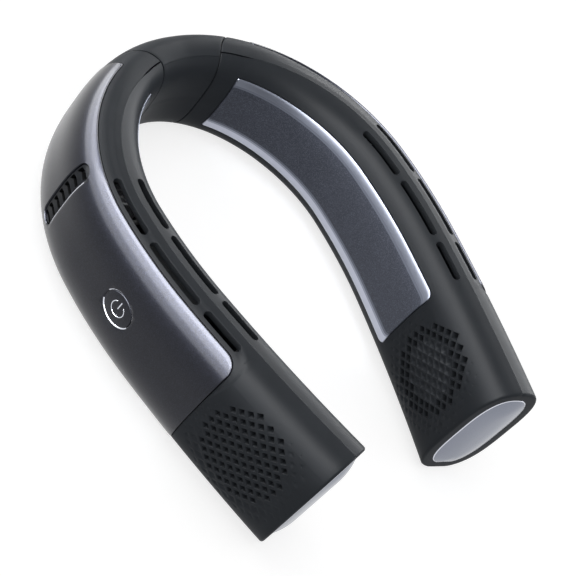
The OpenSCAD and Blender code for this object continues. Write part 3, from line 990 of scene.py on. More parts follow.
@dataclass(frozen=True)
class Arm:
    """One arm's casing: two shells, the gloss cover, the cooling plate and the end cap."""

    loop: NeckLoop
    side: Side
    # Shells
    skin_t: float = 3.2 * MM
    wall: float = 1.8 * MM
    seam: float = 0.16 * MM
    ring_step: float = 2.6 * MM
    end_round: float = 1.4 * MM
    end_wall: float = 2 * MM
    # Rings near the round end and the last one's share of the way, on the lip, round the front
    start_rings: int = 6
    start_share: float = 0.92
    lip_rings: int = 14
    front_rings: int = 5
    # How far the hollow's rings creep on where the outside's rings turn an edge, as a share
    creep: float = 0.01
    # Hinge
    hinge_s: float = 39.5 * MM
    hinge_in: float = 1 * MM
    knuckle_r: float = 20.3 * MM
    knuckle_chamfer: float = 0.35 * MM
    swing: float = math.radians(15)
    eye_r: float = 5 * MM
    strap_t: float = 3 * MM
    strap_slack: float = 0.6 * MM
    strap_steps: int = 5
    # Gloss cover
    cover_start: float = 37.5 * MM
    cover_end: float = 205.5 * MM
    cover_seat: float = 1.2 * MM
    cover_proud: float = 0.25 * MM
    cover_a: float = 10.3 * MM
    cover_corners: Flat = (1.5 * MM, 8 * MM)
    cover_edge_r: float = 0.55 * MM
    cover_points: int = 34
    # Steps round the outer half's ring before, on and after the seat
    cover_steps: tuple[int, int, int] = (8, 30, 8)
    # Cooling plate
    plate_start: float = 31 * MM
    plate_end: float = 203.5 * MM
    plate_seat: float = 1.4 * MM
    plate_proud: float = 0.5 * MM
    plate_low_share: float = 0.165
    plate_high_share: float = 0.85
    plate_bands: Flat = (0.13, 0.2)
    # Drop of the face over the lower band, and the upper band's share of that
    plate_tilt: float = 0.5 * MM
    plate_tilt_high: float = 0.3
    plate_corners: Flat = (1.5 * MM, 4.5 * MM)
    plate_edge_r: float = 0.5 * MM
    # Points across the upper band, the face and the lower band
    plate_points: tuple[int, int, int] = (4, 18, 6)
    # Steps round the inner half's ring before, on and after the seat
    plate_steps: tuple[int, int, int] = (9, 26, 9)
    # Share of the upper band in its main painted reflection, and shares of the lower band at which
    # its painted reflection steps paler
    plate_painted_fades: Triple = (0.6, 0.1, 0.3)
    # Gap round a fitted piece, the width of a seat's step and a strip's least thickness
    gap: float = 0.2 * MM
    step: float = 0.12 * MM
    strip_least: float = 0.1 * MM
    strip_edge_steps: int = 3
    # Air slots
    slot_w: float = 3.6 * MM
    slot_start: float = 106 * MM
    slot_lens: Triple = (29 * MM, 33.5 * MM, 22.3 * MM)
    slot_gap: float = 4.5 * MM
    slot_out_a: float = 6.3 * MM
    slot_in_a: float = 5.5 * MM
    slot_levels: Levels = ((-0.5 * MM, 0.48 * MM), (0.9 * MM, 0.0), (7 * MM, 0.0))
    slot_steps: int = 6
    # Recess round the outer slots and the cover's front corner
    recess: float = 0.5 * MM
    recess_a: float = 3.4 * MM
    recess_front: float = 3.4 * MM
    recess_soft: float = 1.0 * MM
    # Vent
    vent_s: float = 98.5 * MM
    vent_z: float = 33.3 * MM
    vent_w: float = 7.6 * MM
    vent_h: float = 41 * MM
    vent_steps: int = 7
    # How much more the front edge grows than the others
    vent_front: float = 1.6
    vent_deep: Levels = ((-1 * MM, 0.0), (0.3 * MM, 0.0), (9 * MM, 0.0))
    vent_bevel: Levels = ((-1.2 * MM, 0.8 * MM), (0.2 * MM, 0.0), (5 * MM, 0.0))
    # Louvre insert, its slits, and the margin above and below them in slits
    insert_levels: Levels = ((2.5 * MM, 0.0), (0.75 * MM, 0.0), (0.5 * MM, -0.25 * MM))
    vent_slits: int = 7
    slit_margin: float = 0.3
    slit_levels: Levels = ((0.1 * MM, 0.1 * MM), (0.9 * MM, 0.0), (3.2 * MM, 0.0))
    # Half the length of a slit, and its hooked outline in shares of that
    slit_half: float = 3 * MM
    slit_shares: tuple[Flat, ...] = (
        (-0.9, -1.0),
        (-0.52, -0.68),
        (-0.36, -0.36),
        (0.9, -0.42),
        (0.98, 0.3),
        (-0.2, 0.32),
        (-0.86, 0.05),
        (-0.96, -0.45),
    )
    # Fan grille
    fan_s: float = 233.5 * MM
    grille_r: float = 22.3 * MM
    blind_r: float = 14.5 * MM
    fade_r: float = 33 * MM
    cell_s: float = 6.65 * MM
    cell_z: float = 5.3 * MM
    # Share of a cell that its hole takes, on the outer and the inner side
    hole_shares: Flat = (0.52, 0.66)
    hole_levels: Levels = ((-0.3 * MM, 0.22), (0.6 * MM, 0.0), (7 * MM, -0.05))
    blind_levels: Levels = ((-0.2 * MM, 0.97), (0.5 * MM, 0.6), (0.9 * MM, 0.1))
    # Dimples: share of a cell, depth, least strength and least share
    dimple_share: float = 0.9
    dimple_deep: float = 1.1 * MM
    dimple_least: float = 0.08
    dimple_rim: float = 0.08
    # Where a dimple's cut starts above the skin, and the share at its bottom
    dimple_cut: Flat = (-0.2 * MM, 0.05)
    # Strength in front of the grille, with that below it as 1
    dimple_ahead: float = 0.45
    # End cap
    cap_edge: float = 5.2 * MM
    cap_seat: float = 2.5 * MM
    cap_bulge: float = 2.5 * MM
    cap_rim: float = 0.5 * MM
    cap_step: float = 0.15 * MM
    cap_rings: int = 16
    cap_points: int = 120
    # Power of the crown's fall towards its rim, and half the width of its flat middle
    cap_crown: float = 2.2
    cap_flat: float = 0.5 * MM
    # Button hole, and the charging port's hole in the underside
    button_s: float = 152 * MM
    button_r: float = 8.4 * MM
    button_points: int = 64
    button_deep: Levels = ((0.2 * MM, 0.0), (cover_seat, 0.0), (9 * MM, 0.0))
    button_bevel: Levels = ((-0.8 * MM, 1.1 * MM), (0.1 * MM, -0.1 * MM), (5 * MM, -0.1 * MM))
    # Height above and below the button's middle from which the bevel is silver, a painted highlight
    # that leaves the unlit front and back dark, in radii
    button_highlight_reach: float = 0.34
    port_s: float = 186 * MM
    port_a: float = 7 * MM
    port_w: float = 8.9 * MM
    port_t: float = 3.2 * MM
    port_steps: int = 5
    # Height and growth of each ring of the port's hole
    port_levels: Levels = ((-0.5 * MM, 0.8 * MM), (0.35 * MM, 0.2 * MM), (9 * MM, 0.2 * MM))

    @property
    def fan_z(self) -> float:
        """Height of the fan's axis, from the impeller's box."""
        low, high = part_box(self.side.node("impeller"))
        return (low.z + high.z) / 2

    @property
    def button_z(self) -> float:
        """Height of the power button, from its box."""
        low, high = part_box("power_button")
        return (low.z + high.z) / 2

    @property
    def cover_patch(self) -> Patch:
        """Outline of the cover's seat."""
        return Patch(self.cover_start, self.cover_end, *self.cover_corners)

    @property
    def plate_patch(self) -> Patch:
        """Outline of the plate's seat."""
        return Patch(self.plate_start, self.plate_end, *self.plate_corners)

    def _cover_edge(self, s: float) -> float:
        """Length round the section from the outer side's middle to the cover's upper edge."""
        return girth(self.loop, s).length(self.loop.turn_at_a(s, self.cover_a))

    def _plate_edges(self, s: float) -> Flat:
        """Where the plate's seat lies round the section.

        Args:
            s: Station.

        Returns:
            Lengths round the section to the plate's upper and lower edges.
        """
        walk = girth(self.loop, s)
        high = math.pi - self.loop.turn_at_share(s, self.plate_high_share)
        low = math.pi - self.loop.turn_at_share(s, self.plate_low_share)
        return walk.length(high), walk.length(low)

    def _zones(self, s: float, face: Face, seated: bool) -> list[tuple[float, float, int, float]]:
        """Stretches of a half ring.

        Args:
            s: Station.
            face: The half's side.
            seated: Whether the seat of the cover or plate is sunk at this ring.

        Returns:
            Start, end, count of steps and sink of each stretch.
        """
        walk, step = girth(self.loop, s), self.step
        top = walk.length(self.loop.turn_at_a(s, 0.0))
        if face is Face.OUTER:
            reach = self._cover_edge(s) - self.cover_patch.pull(s)
            first, last = -top, top
            low, high = -reach, reach
            counts, seat = self.cover_steps, self.cover_seat
        else:
            upper, lower = self._plate_edges(s)
            pull = self.plate_patch.pull(s)
            first, last = top, walk.length(2 * math.pi - self.loop.turn_at_a(s, 0.0))
            low, high = upper + pull, lower - pull
            counts, seat = self.plate_steps, self.plate_seat
        return [
            (first + self.seam, low - step, counts[0], 0.0),
            (low + step, high - step, counts[1], seat if seated else 0.0),
            (high + step, last - self.seam, counts[2], 0.0),
        ]

    def _relief(self, s: float, u: float, walked: float, face: Face) -> float:
        """Depth of the skin's own relief: the crease along the ridge line and the recess.

        Args:
            s: Station.
            u: Turn round the section.
            walked: Length round the section.
            face: The half's side.

        Returns:
            How far the skin lies below the plain section.
        """
        depth = self.loop.crease_sink(s, u)
        if face is Face.OUTER and walked > 0:
            beyond = walked - self._cover_edge(s)
            # The recess runs on past the cover's front, round a corner of twice the room's radius
            room = self.cover_a - self.recess_a
            front = self.cover_end + self.recess_front * ease((beyond + 4 * room) / (3 * room))
            ahead, above = max(0.0, s - front + 2 * room), max(0.0, beyond + room)
            corner = math.hypot(ahead, above) - 2 * room
            inside = min(-corner, room - beyond) / self.recess_soft
            depth += self.recess * ease(inside) * ease((s - self.cover_start) / (4 * room))
        return depth

    def _line(self, s: float, face: Face, seated: bool) -> list[Flat]:
        """The outside of a half ring.

        Args:
            s: Station.
            face: The half's side.
            seated: Whether the seat of the cover or plate is sunk at this ring.

        Returns:
            Turn and sink of each point.
        """
        walk = girth(self.loop, s)
        points: list[Flat] = []
        for start, end, count, sink in self._zones(s, face, seated):
            for walked in spread(start, end, count):
                u = walk.turn(walked)
                points.append((u, sink + self._relief(s, u, walked, face)))
        u = self.loop.turn_at_a(s, 0.0)
        ends = (-u, u) if face is Face.OUTER else (u, 2 * math.pi - u)
        return [(ends[0], self.seam), *points, (ends[1], self.seam)]

    def meet(self, u: float, sink: float, r: float) -> float:
        """Station at which a line along the skin meets a cylinder about the hinge axis.

        Args:
            u: The line's turn round the section.
            sink: Its depth.
            r: Radius of the cylinder.

        Returns:
            The station on the bridge's side of the axis.
        """
        axis = self.loop.spot(self.hinge_s, -self.hinge_in, 0.0).xy
        low, high = self.hinge_s - 1.5 * r, self.hinge_s
        for _ in range(HALVINGS):
            middle = (low + high) / 2
            far = (self.loop.skin(middle, u, sink).xy - axis).length > r
            low, high = (middle, high) if far else (low, middle)
        return (low + high) / 2

    def _ring(self, ring: Ring, face: Face) -> list[Vector]:
        """Points of one ring: the outside out, and the hollow back.

        Args:
            ring: The ring.
            face: The half's side.

        Returns:
            The points.
        """
        loop, s = self.loop, ring.station
        line = self._line(s, face, ring.seated)
        outside, inside = [], []
        if ring.share is None:
            hollow_s, hollow_end = s, loop.half_len - self.cap_seat - self.end_wall
            if s >= hollow_end:
                hollow_s = hollow_end + self.creep * (2 * (s - hollow_end) + ring.shrink)
            for u, sink in line:
                outside.append(loop.skin(s, u, sink + ring.shrink))
                inside.append(loop.skin(hollow_s, u, self.skin_t))
            return outside + inside[::-1]
        first = ring.shrink > 0
        r = self.knuckle_r if first else self.knuckle_r - self.knuckle_chamfer
        hollow_share = ring.share + self.creep * (not first)
        for u, sink in line:
            near = self.meet(u, sink, r)
            outside.append(loop.skin(near + (s - near) * ring.share, u, sink + ring.shrink))
            near = self.meet(u, self.skin_t, self.knuckle_r - self.wall)
            inside.append(loop.skin(near + (s - near) * hollow_share, u, self.skin_t))
        return outside + inside[::-1]

    def _rings(self, face: Face) -> list[Ring]:
        """All the rings of a half, from the round end to the end cap's seat.

        Args:
            face: The half's side.

        Returns:
            The rings.
        """
        patch = self.cover_patch if face is Face.OUTER else self.plate_patch
        first, ahead = patch.start - 2 * self.step, patch.end + 2 * self.step
        end = self.loop.half_len
        near_end = end - self.end_round
        lip_end = ahead + self.recess_front + 2 * self.recess_soft
        count = math.ceil((near_end - lip_end) / self.ring_step)
        rings = [Ring(first, share=0.0, shrink=self.knuckle_chamfer)]
        near_start = spread(0.0, self.start_share, self.start_rings)
        rings += [Ring(first, share=share) for share in near_start]
        rings += [Ring(first)]
        rings += [Ring(s, seated=True) for s in patch.stations()]
        rings += [Ring(s) for s in spread(ahead, lip_end, self.lip_rings)]
        rings += [Ring(s) for s in spread(lip_end, near_end, count)[1:]]
        for t in spread(0.0, QUARTER, self.front_rings)[1:]:
            shrink = self.end_round * (1 - math.cos(t))
            rings.append(Ring(near_end + self.end_round * math.sin(t), shrink=shrink))
        rings.append(Ring(end, shrink=self.cap_edge))
        rings.append(Ring(end - self.cap_seat, shrink=self.cap_edge))
        return rings

    def shell(self, face: Face) -> Mesh:
        """Mesh of one half of the casing.

        Args:
            face: Outer or inner half.

        Returns:
            A closed mesh, without its holes.
        """
        mesh = bmesh.new()
        rings = self._rings(face)
        loft = Loft(mesh, self._ring(rings[0], face))
        start = loft.ring
        for ring in rings[1:]:
            loft.grow(self._ring(ring, face))
        loft.fold(loft.ring)
        loft.fold_walls(start)
        return mesh

    def slots(self, cutter: Mesh, a: float) -> None:
        """Cut a row of air slots down through the top.

        Args:
            cutter: What the slots are added to.
            a: Middle of the row.
        """
        start = self.slot_start
        for length in self.slot_lens:
            middle = start + length / 2
            rings = []
            for sink, grow in self.slot_levels:
                outline = stadium(length / 2 + grow, self.slot_w / 2 + grow, self.slot_steps)
                rings.append([self.loop.on_top(middle + x, a + y, sink) for x, y in outline])
            add_solid(cutter, rings)
            start += length + self.slot_gap

    def strap_way(self, cutter: Mesh) -> None:
        """Cut the way of the hinge strap through the round end, wide enough for the swing.

        Args:
            cutter: What the way is added to.
        """
        low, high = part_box("hinge_strap")
        place = self.loop.seat(self.hinge_s, -self.hinge_in, (low.z + high.z) / 2)
        tall = (high.z - low.z) / 2 + self.strap_slack
        half = self.strap_t / 2 + self.strap_slack
        rings = []
        for d in spread(self.eye_r, self.knuckle_r + self.wall, self.strap_steps):
            bend = d * d / (2 * (self.loop.neck_r - self.hinge_in))
            near, far = -half - bend, half - bend + d * math.tan(self.swing)
            corners = ((near, -tall), (far, -tall), (far, tall), (near, tall))
            rings.append([place @ Vector((x, d, z)) for x, z in corners])
        add_solid(cutter, rings)

    def on_side(
        self, s: float, z: float, outline: Outline, levels: Levels, face: Face = Face.OUTER
    ) -> list[list[Vector]]:
        """Rings of a hole in an upright side.

        Args:
            s: Station of the hole's middle.
            z: Height of its middle.
            outline: Gives the outline for a growth.
            levels: Sink and growth of each ring.
            face: The side.

        Returns:
            The rings.
        """
        return [
            [self.loop.on_face(s + x, z + y, sink, face) for x, y in outline(grow)]
            for sink, grow in levels
        ]

    def _vent(self, grow: float) -> list[Flat]:
        """Outline of the upright vent.

        Args:
            grow: How far it is grown all round. The front edge grows more.

        Returns:
            Its points, forwards and up from its middle.
        """
        outline = stadium(self.vent_h / 2 + grow, self.vent_w / 2 + grow, self.vent_steps)
        return [(x + self.vent_front * grow * (x > 0), z) for z, x in outline]

    def vent(self, cutter: Mesh, levels: Levels) -> None:
        """Cut the vent's hole, whose bevel is silver along its straight front edge only, a painted
        highlight on the lit edge.

        Args:
            cutter: What the hole is added to.
            levels: Sink and growth of each ring.
        """
        straight = (self.vent_h - self.vent_w) / 2
        # Silver on the front edge's bevel alone: a painted highlight where that edge catches the
        # light
        painted_highlight = [int(x > 0 and abs(z) < straight) for x, z in self._vent(0.0)]
        add_solid(cutter, self.on_side(self.vent_s, self.vent_z, self._vent, levels), painted_highlight)

    def _cell(self, x: float, y: float, face: Face) -> Levels:
        """Depths of the grille's cell at a place.

        Args:
            x: Distance from the fan's axis, towards the bridge.
            y: Height above the axis.
            face: The side.

        Returns:
            Sink and share of the cell at each ring, or nothing where no cell shows.
        """
        far = math.hypot(x, y)
        if far <= self.grille_r:
            if far <= self.blind_r and face is Face.INNER:
                return self.blind_levels
            share = self.hole_shares[face is Face.INNER]
            return [(sink, share + more) for sink, more in self.hole_levels]
        # Dimples fade outwards, and are strongest below the grille and then in front of it
        inwards = 1 - (far - self.grille_r) / (self.fade_r - self.grille_r)
        below, ahead = ease(0.6 - 0.8 * y / far), ease(-1.2 * x / far)
        strength = inwards * max(below, self.dimple_ahead * ahead)
        if far > self.fade_r or strength <= self.dimple_least:
            return []
        share = self.dimple_share * strength**0.5 + self.dimple_rim
        start, bottom = self.dimple_cut
        return [(start, share), (self.dimple_deep * strength, bottom)]

    def grille(self, cutter: Mesh, face: Face) -> None:
        """Cut the fan's grille: open cells, blind cells and dimples that fade outside it.

        Args:
            cutter: What the cells are added to.
            face: The side.
        """
        half_s, half_z = self.cell_s / 2, self.cell_z / 2
        cell = [(half_s, 0.0), (0.0, half_z), (-half_s, 0.0), (0.0, -half_z)]

        def outline(share: float) -> list[Flat]:
            """A cell at a share of its size."""
            return [(share * x, share * y) for x, y in cell]

        reach = math.ceil(self.fade_r / half_z)
        for i in range(-reach, reach + 1):
            for j in range(-reach, reach + 1):
                if (i + j) % 2:
                    continue
                x, y = i * half_s, j * half_z
                levels = self._cell(x, y, face)
                if levels:
                    place = (self.fan_s - x, self.fan_z + y)
                    add_solid(cutter, self.on_side(*place, outline, levels, face))

    def button_ring(self, turns: Sequence[float], levels: Levels) -> list[list[Vector]]:
        """Rings round the power button's middle, on the outer side.

        Args:
            turns: Turn at which each point lies.
            levels: Sink and growth of each ring.

        Returns:
            The rings.
        """

        def outline(grow: float) -> list[Flat]:
            """A circle round the button."""
            r = self.button_r + grow
            return [(r * math.cos(t), r * math.sin(t)) for t in turns]

        return self.on_side(self.button_s, self.button_z, outline, levels)

    def button_hole(self, cutter: Mesh, levels: Levels, painted_highlight: bool = False) -> None:
        """Cut the power button's hole.

        Args:
            cutter: What the hole is added to.
            levels: Sink and growth of each ring.
            painted_highlight: Whether its bevel is silver above and below, a painted highlight.
        """
        turns = spread(0.0, 2 * math.pi, self.button_points)[:-1]
        # Silver bevel above and below only: a painted highlight, with the unlit front and back left
        # in the cover's paint
        metal = [int(painted_highlight and abs(math.sin(t)) > self.button_highlight_reach) for t in turns]
        add_solid(cutter, self.button_ring(turns, levels), metal)

    def port_hole(self, cutter: Mesh) -> None:
        """Cut the charging port's hole up through the underside.

        Args:
            cutter: What the hole is added to.
        """
        rings = []
        for z, grow in self.port_levels:
            outline = stadium(self.port_w / 2 + grow, self.port_t / 2 + grow, self.port_steps)
            spots = [(self.port_s + x, self.port_a + y) for x, y in outline]
            rings.append([self.loop.spot(s, a, z) for s, a in spots])
        add_solid(cutter, rings)

    def cover(self) -> Mesh:
        """Mesh of the gloss cover, with rounded edges."""
        return self._strip(
            patch=self.cover_patch,
            edges=lambda s: (-self._cover_edge(s), self._cover_edge(s)),
            proud=self.cover_proud,
            seat=self.cover_seat,
            drop=lambda share: 0.0,
            shares=spread(0.0, 1.0, self.cover_points),
            round_r=self.cover_edge_r,
            finishes=[0] * (self.cover_points + 1),
        )

    def _plate_drop(self, share: float) -> float:
        """How far the plate's face drops over its bands.

        Args:
            share: Share of the width from the upper edge.

        Returns:
            The drop.
        """
        high, low = self.plate_bands
        into_low = max(0.0, share - 1 + low) / low
        over_high = self.plate_tilt_high * (1 - share / high)
        return self.plate_tilt * max(0.0, over_high, into_low**1.5)

    def _plate_finish(self, share: float) -> int:
        """Which of the plate's finishes follows a share of its width.

        Args:
            share: Share of the width from the upper edge.

        Returns:
            0 for the face, 1 the upper band's painted reflection, 2 the lower band's paler painted
            reflection, 3 and 4 the painted steps between.
        """
        high, low = self.plate_bands
        high_main, low_soft, low_middle = self.plate_painted_fades
        if share < high - SAME:
            return 1 if share < high_main * high else 3
        into = (share - 1 + low) / low
        for edge, finish in ((-SAME, 0), (low_soft, 3), (low_middle, 4)):
            if into < edge:
                return finish
        return 2

    def plate(self) -> Mesh:
        """Mesh of the cooling plate, whose long edges carry painted reflections in lighter
        finishes.

        Returns:
            The closed mesh.
        """
        high, low = self.plate_bands
        over, across, under = self.plate_points
        shares = spread(0.0, high, over)
        shares += spread(high, 1 - low, across)[1:-1] + spread(1 - low, 1.0, under)
        return self._strip(
            patch=self.plate_patch,
            edges=self._plate_edges,
            proud=self.plate_proud,
            seat=self.plate_seat,
            drop=self._plate_drop,
            shares=shares,
            round_r=self.plate_edge_r,
            finishes=[self._plate_finish(share) for share in shares],
        )

    def _strip(
        self,
        patch: Patch,
        edges: Callable[[float], Flat],
        proud: float,
        seat: float,
        drop: Callable[[float], float],
        shares: Sequence[float],
        round_r: float,
        finishes: Sequence[int],
    ) -> Mesh:
        """Mesh of a strip that lies in a seat.

        Args:
            patch: Outline of the seat.
            edges: Lengths round the section to the seat's two long edges, at a station.
            proud: How far the strip stands proud of the skin.
            seat: Depth of the seat.
            drop: How far the face drops at a share of the width.
            shares: Shares of the width at which the points of a ring lie.
            round_r: Radius of the strip's edges.
            finishes: Material at each share.

        Returns:
            The closed mesh.
        """
        gap, loop = self.gap, self.loop
        bottom = seat - gap
        deepest = bottom - self.strip_least
        low, high = patch.start + gap, patch.end - gap
        # How far in from an edge, and how far down, the rounded edge's points lie
        edge = [
            (round_r * (1 - math.cos(t)), round_r * (1 - math.sin(t)))
            for t in spread(0.0, QUARTER, self.strip_edge_steps)
        ]
        stations = [(low + back, down) for back, down in edge]
        stations += [(s, 0.0) for s in patch.stations() if low + round_r < s < high - round_r]
        stations += [(high - back, down) for back, down in reversed(edge)]
        rings = []
        for s, extra in stations:
            walk, (start, end) = girth(loop, s), edges(s)
            draw = patch.pull(s) + gap + self.step
            start, end = start + draw, end - draw
            width = end - start - 2 * round_r
            path = [(start + back, down + drop(0.0) - proud) for back, down in edge[:-1]]
            path += [(start + round_r + width * share, drop(share) - proud) for share in shares]
            path += [(end - back, down + drop(1.0) - proud) for back, down in edge[-2::-1]]
            turns = [walk.turn(walked) for walked, _ in path]
            sinks = [min(sink + extra, deepest) for _, sink in path]
            outside = [loop.skin(s, u, sink) for u, sink in zip(turns, sinks)]
            rings.append(outside + [loop.skin(s, u, bottom) for u in reversed(turns)])
        ends = len(edge)
        materials = [finishes[0]] * ends + list(finishes[1:-1]) + [finishes[-1]] * ends
        materials += [0] * (len(rings[0]) - len(materials))
        mesh = bmesh.new()
        add_solid(mesh, rings, materials, all_flanks=True)
        return mesh

    def end_cap(self) -> Mesh:
        """Mesh of the crowned end cap, which has a bright rim round its dome.

        Returns:
            The closed mesh.
        """
        end, edge = self.loop.half_len, self.cap_edge + self.gap
        dome, start = edge + self.cap_rim, end + self.cap_step
        # Station, depth below the skin and material of each ring
        steps = [
            (end - self.cap_seat + self.gap, edge, 0),
            (end - self.cap_rim / 2, edge, 1),
            (end, edge + 0.3 * self.cap_rim, 1),
            (start, dome, 1),
        ]
        room = self.loop.halves(end)[0] - dome - self.cap_flat
        for x in spread(0.0, 1.0, self.cap_rings)[1:]:
            rise = (self.cap_bulge - self.cap_step) * (1 - (1 - x) ** self.cap_crown)
            steps.append((start + rise, dome + room * x, 0))
        walk = girth(self.loop, end)
        whole = walk.length(2 * math.pi) - walk.length(0.0)
        shares = spread(-0.25, 0.75, self.cap_points)[:-1]
        turns = [walk.turn(whole * share) for share in shares]
        rings = [[self.loop.skin(s, u, sink) for u in turns] for s, sink, _ in steps]
        mesh = bmesh.new()
        loft = Loft(mesh, rings[0])
        bmesh.ops.edgeloop_fill(mesh, edges=loft.edges)
        for ring, (_, _, finish) in zip(rings[1:], steps[1:]):
            loft.grow(ring, [finish] * len(ring))
        bmesh.ops.edgeloop_fill(mesh, edges=loft.edges)
        return mesh

    def louvres(self) -> tuple[Mesh, Mesh]:
        """The vent's insert and its slanted slits.

        Returns:
            The insert's mesh and that of the slits to cut.
        """
        insert, slits = bmesh.new(), bmesh.new()
        levels = [(sink, grow - self.gap) for sink, grow in self.insert_levels]
        add_solid(insert, self.on_side(self.vent_s, self.vent_z, self._vent, levels))

        def slit(grow: float) -> list[Flat]:
            """Outline of a slit with a hooked rear end."""
            half = self.slit_half + grow
            return [(half * x, half * y) for x, y in self.slit_shares]

        pitch = self.vent_h / (self.vent_slits + self.slit_margin)
        # Slit walls in black plastic, darker than the insert: painted shade inside the slits
        dark = [1] * len(self.slit_shares)
        for k in range(self.vent_slits):
            z = self.vent_z + (k - (self.vent_slits - 1) / 2) * pitch
            rings = self.on_side(self.vent_s, z, slit, self.slit_levels)
            add_solid(slits, rings, dark, all_flanks=True)
        return insert, slits

    def build(self, bench: Bench, paints: Paints) -> None:
        """Make and dress every piece of this arm.

        Args:
            bench: Finishes the pieces.
            paints: The finishes.
        """
        side = self.side
        outer, inner, window = bmesh.new(), bmesh.new(), bmesh.new()
        self.slots(outer, self.slot_out_a)
        self.vent(outer, self.vent_deep)
        self.grille(outer, Face.OUTER)
        self.strap_way(outer)
        self.slots(inner, -self.slot_in_a)
        self.grille(inner, Face.INNER)
        self.strap_way(inner)
        self.vent(window, self.vent_bevel)
        if side is Side.LEFT:
            self.port_hole(outer)
            self.button_hole(outer, self.button_deep)
            self.button_hole(window, self.button_bevel, painted_highlight=True)
        insert, slits = self.louvres()
        # The cover's silver second finish is a painted highlight on the vent's and the button's
        # bevels
        gloss, casing = [paints.cover, paints.silver], [paints.shell]
        # The plate's face, then the painted reflections on its long edges
        metal = [paints.plate, paints.painted_upper_band, paints.painted_lower_band, paints.painted_band_dim_step, paints.painted_band_middle_step]
        # The louvre insert's second finish, black plastic, is painted shade on its slit walls
        cap, vent = [paints.cap, paints.silver], [paints.louvre, paints.dark]
        # Piece, mesh, finishes, material slot, node and what is cut out
        pieces = (
            ("outer_casing", self.shell(Face.OUTER), casing, "arm_shell", "outer_shell", outer),
            ("inner_casing", self.shell(Face.INNER), casing, "arm_shell", "inner_shell", inner),
            ("gloss_cover", self.cover(), gloss, "gloss_cover", "outer_cover", window),
            ("cold_plate", self.plate(), metal, "cooling_plate", "cooling_plate", None),
            ("crowned_cap", self.end_cap(), cap, "end_cap", "end_cap", None),
            ("louvre_insert", insert, vent, "louvres", "vent_louvres", slits),
        )
        for name, mesh, finishes, slot, node, cutter in pieces:
            nodes = [side.node(node)]
            bench.lay(side.node(name), mesh, side, finishes, side.body, nodes, cutter)


@dataclass(frozen=True)
class Bridge:
    """The short casing behind the neck, with a round pocket for each arm's end."""

    arm: Arm
    # Station of the horns that reach over the arms, and how far it draws back for its depth
    horn_s: float = 29.5 * MM
    horn_slope: float = 0.5
    knuckle_gap: float = 0.5 * MM
    edge_round: float = 0.35 * MM
    edge_steps: int = 4
    points: int = 44
    steps: int = 24

    def _end(self, u: float, sink: float, r: float) -> float:
        """Station at which a line along the skin ends, at the pocket or the horn's tip."""
        return min(self.horn_s - self.horn_slope * sink, self.arm.meet(u, sink, r))

    def _lines(self, face: Face) -> list[tuple[float, float, float, float]]:
        """Lines along the casing.

        Args:
            face: Outer or inner half.

        Returns:
            Each line's turn and sink, and where its outside and its inside end.
        """
        arm, loop = self.arm, self.arm.loop
        walk = girth(loop, 0.0)
        top = walk.length(loop.turn_at_a(0.0, 0.0))
        foot = walk.length(2 * math.pi - loop.turn_at_a(0.0, 0.0))
        start, end = (-top, top) if face is Face.OUTER else (top, foot)
        lengths = [start, *spread(start + arm.seam, end - arm.seam, self.points), end]
        pocket = arm.knuckle_r + self.knuckle_gap
        lines = []
        for k, walked in enumerate(lengths):
            u = walk.turn(walked)
            sink = arm.seam if k in (0, len(lengths) - 1) else 0.0
            hollow_end = self._end(u, arm.wall, pocket + arm.wall) - 0.2 * arm.wall
            lines.append((u, sink, self._end(u, sink, pocket), hollow_end))
        return lines

    def shell(self, face: Face) -> Mesh:
        """Mesh of one half of the bridge.

        Args:
            face: Outer or inner half.

        Returns:
            A closed mesh.
        """
        arm, loop = self.arm, self.arm.loop
        lines = self._lines(face)
        # Share of the way along, drop of the skin and distance from the end, in edge rounds
        arc = spread(0.0, QUARTER, self.edge_steps)[:-1]
        rounding = [(1.0, 1 - math.sin(t), 1 - math.cos(t)) for t in arc]
        plan = [(-share, drop, back) for share, drop, back in rounding]
        plan += [(share, 0.0, 1.0) for share in spread(-1.0, 1.0, self.steps)]
        plan += rounding[::-1]
        rings = []
        for (share, drop, back), hollow_share in zip(plan, spread(-1.0, 1.0, len(plan) - 1)):
            outside, inside = [], []
            for u, sink, end, hollow_end in lines:
                s = share * (end - self.edge_round * back)
                sink += loop.crease_sink(s, u) + self.edge_round * drop
                outside.append(loop.skin(s, u, sink))
                inside.append(loop.skin(hollow_share * hollow_end, u, arm.wall))
            rings.append(outside + inside[::-1])
        mesh = bmesh.new()
        loft = Loft(mesh, rings[0])
        loft.fold_walls(loft.ring)
        for ring in rings[1:]:
            loft.grow(ring)
        loft.fold_walls(loft.ring)
        return mesh

    def build(self, bench: Bench, paints: Paints) -> None:
        """Make and dress both halves.

        Args:
            bench: Finishes the pieces.
            paints: The finishes.
        """
        for face, name in ((Face.OUTER, "outer"), (Face.INNER, "inner")):
            bench.lay(
                f"bridge_{name}_casing",
                self.shell(face),
                Side.RIGHT,
                [paints.shell],
                "bridge",
                [f"bridge_{name}_shell"],
            )


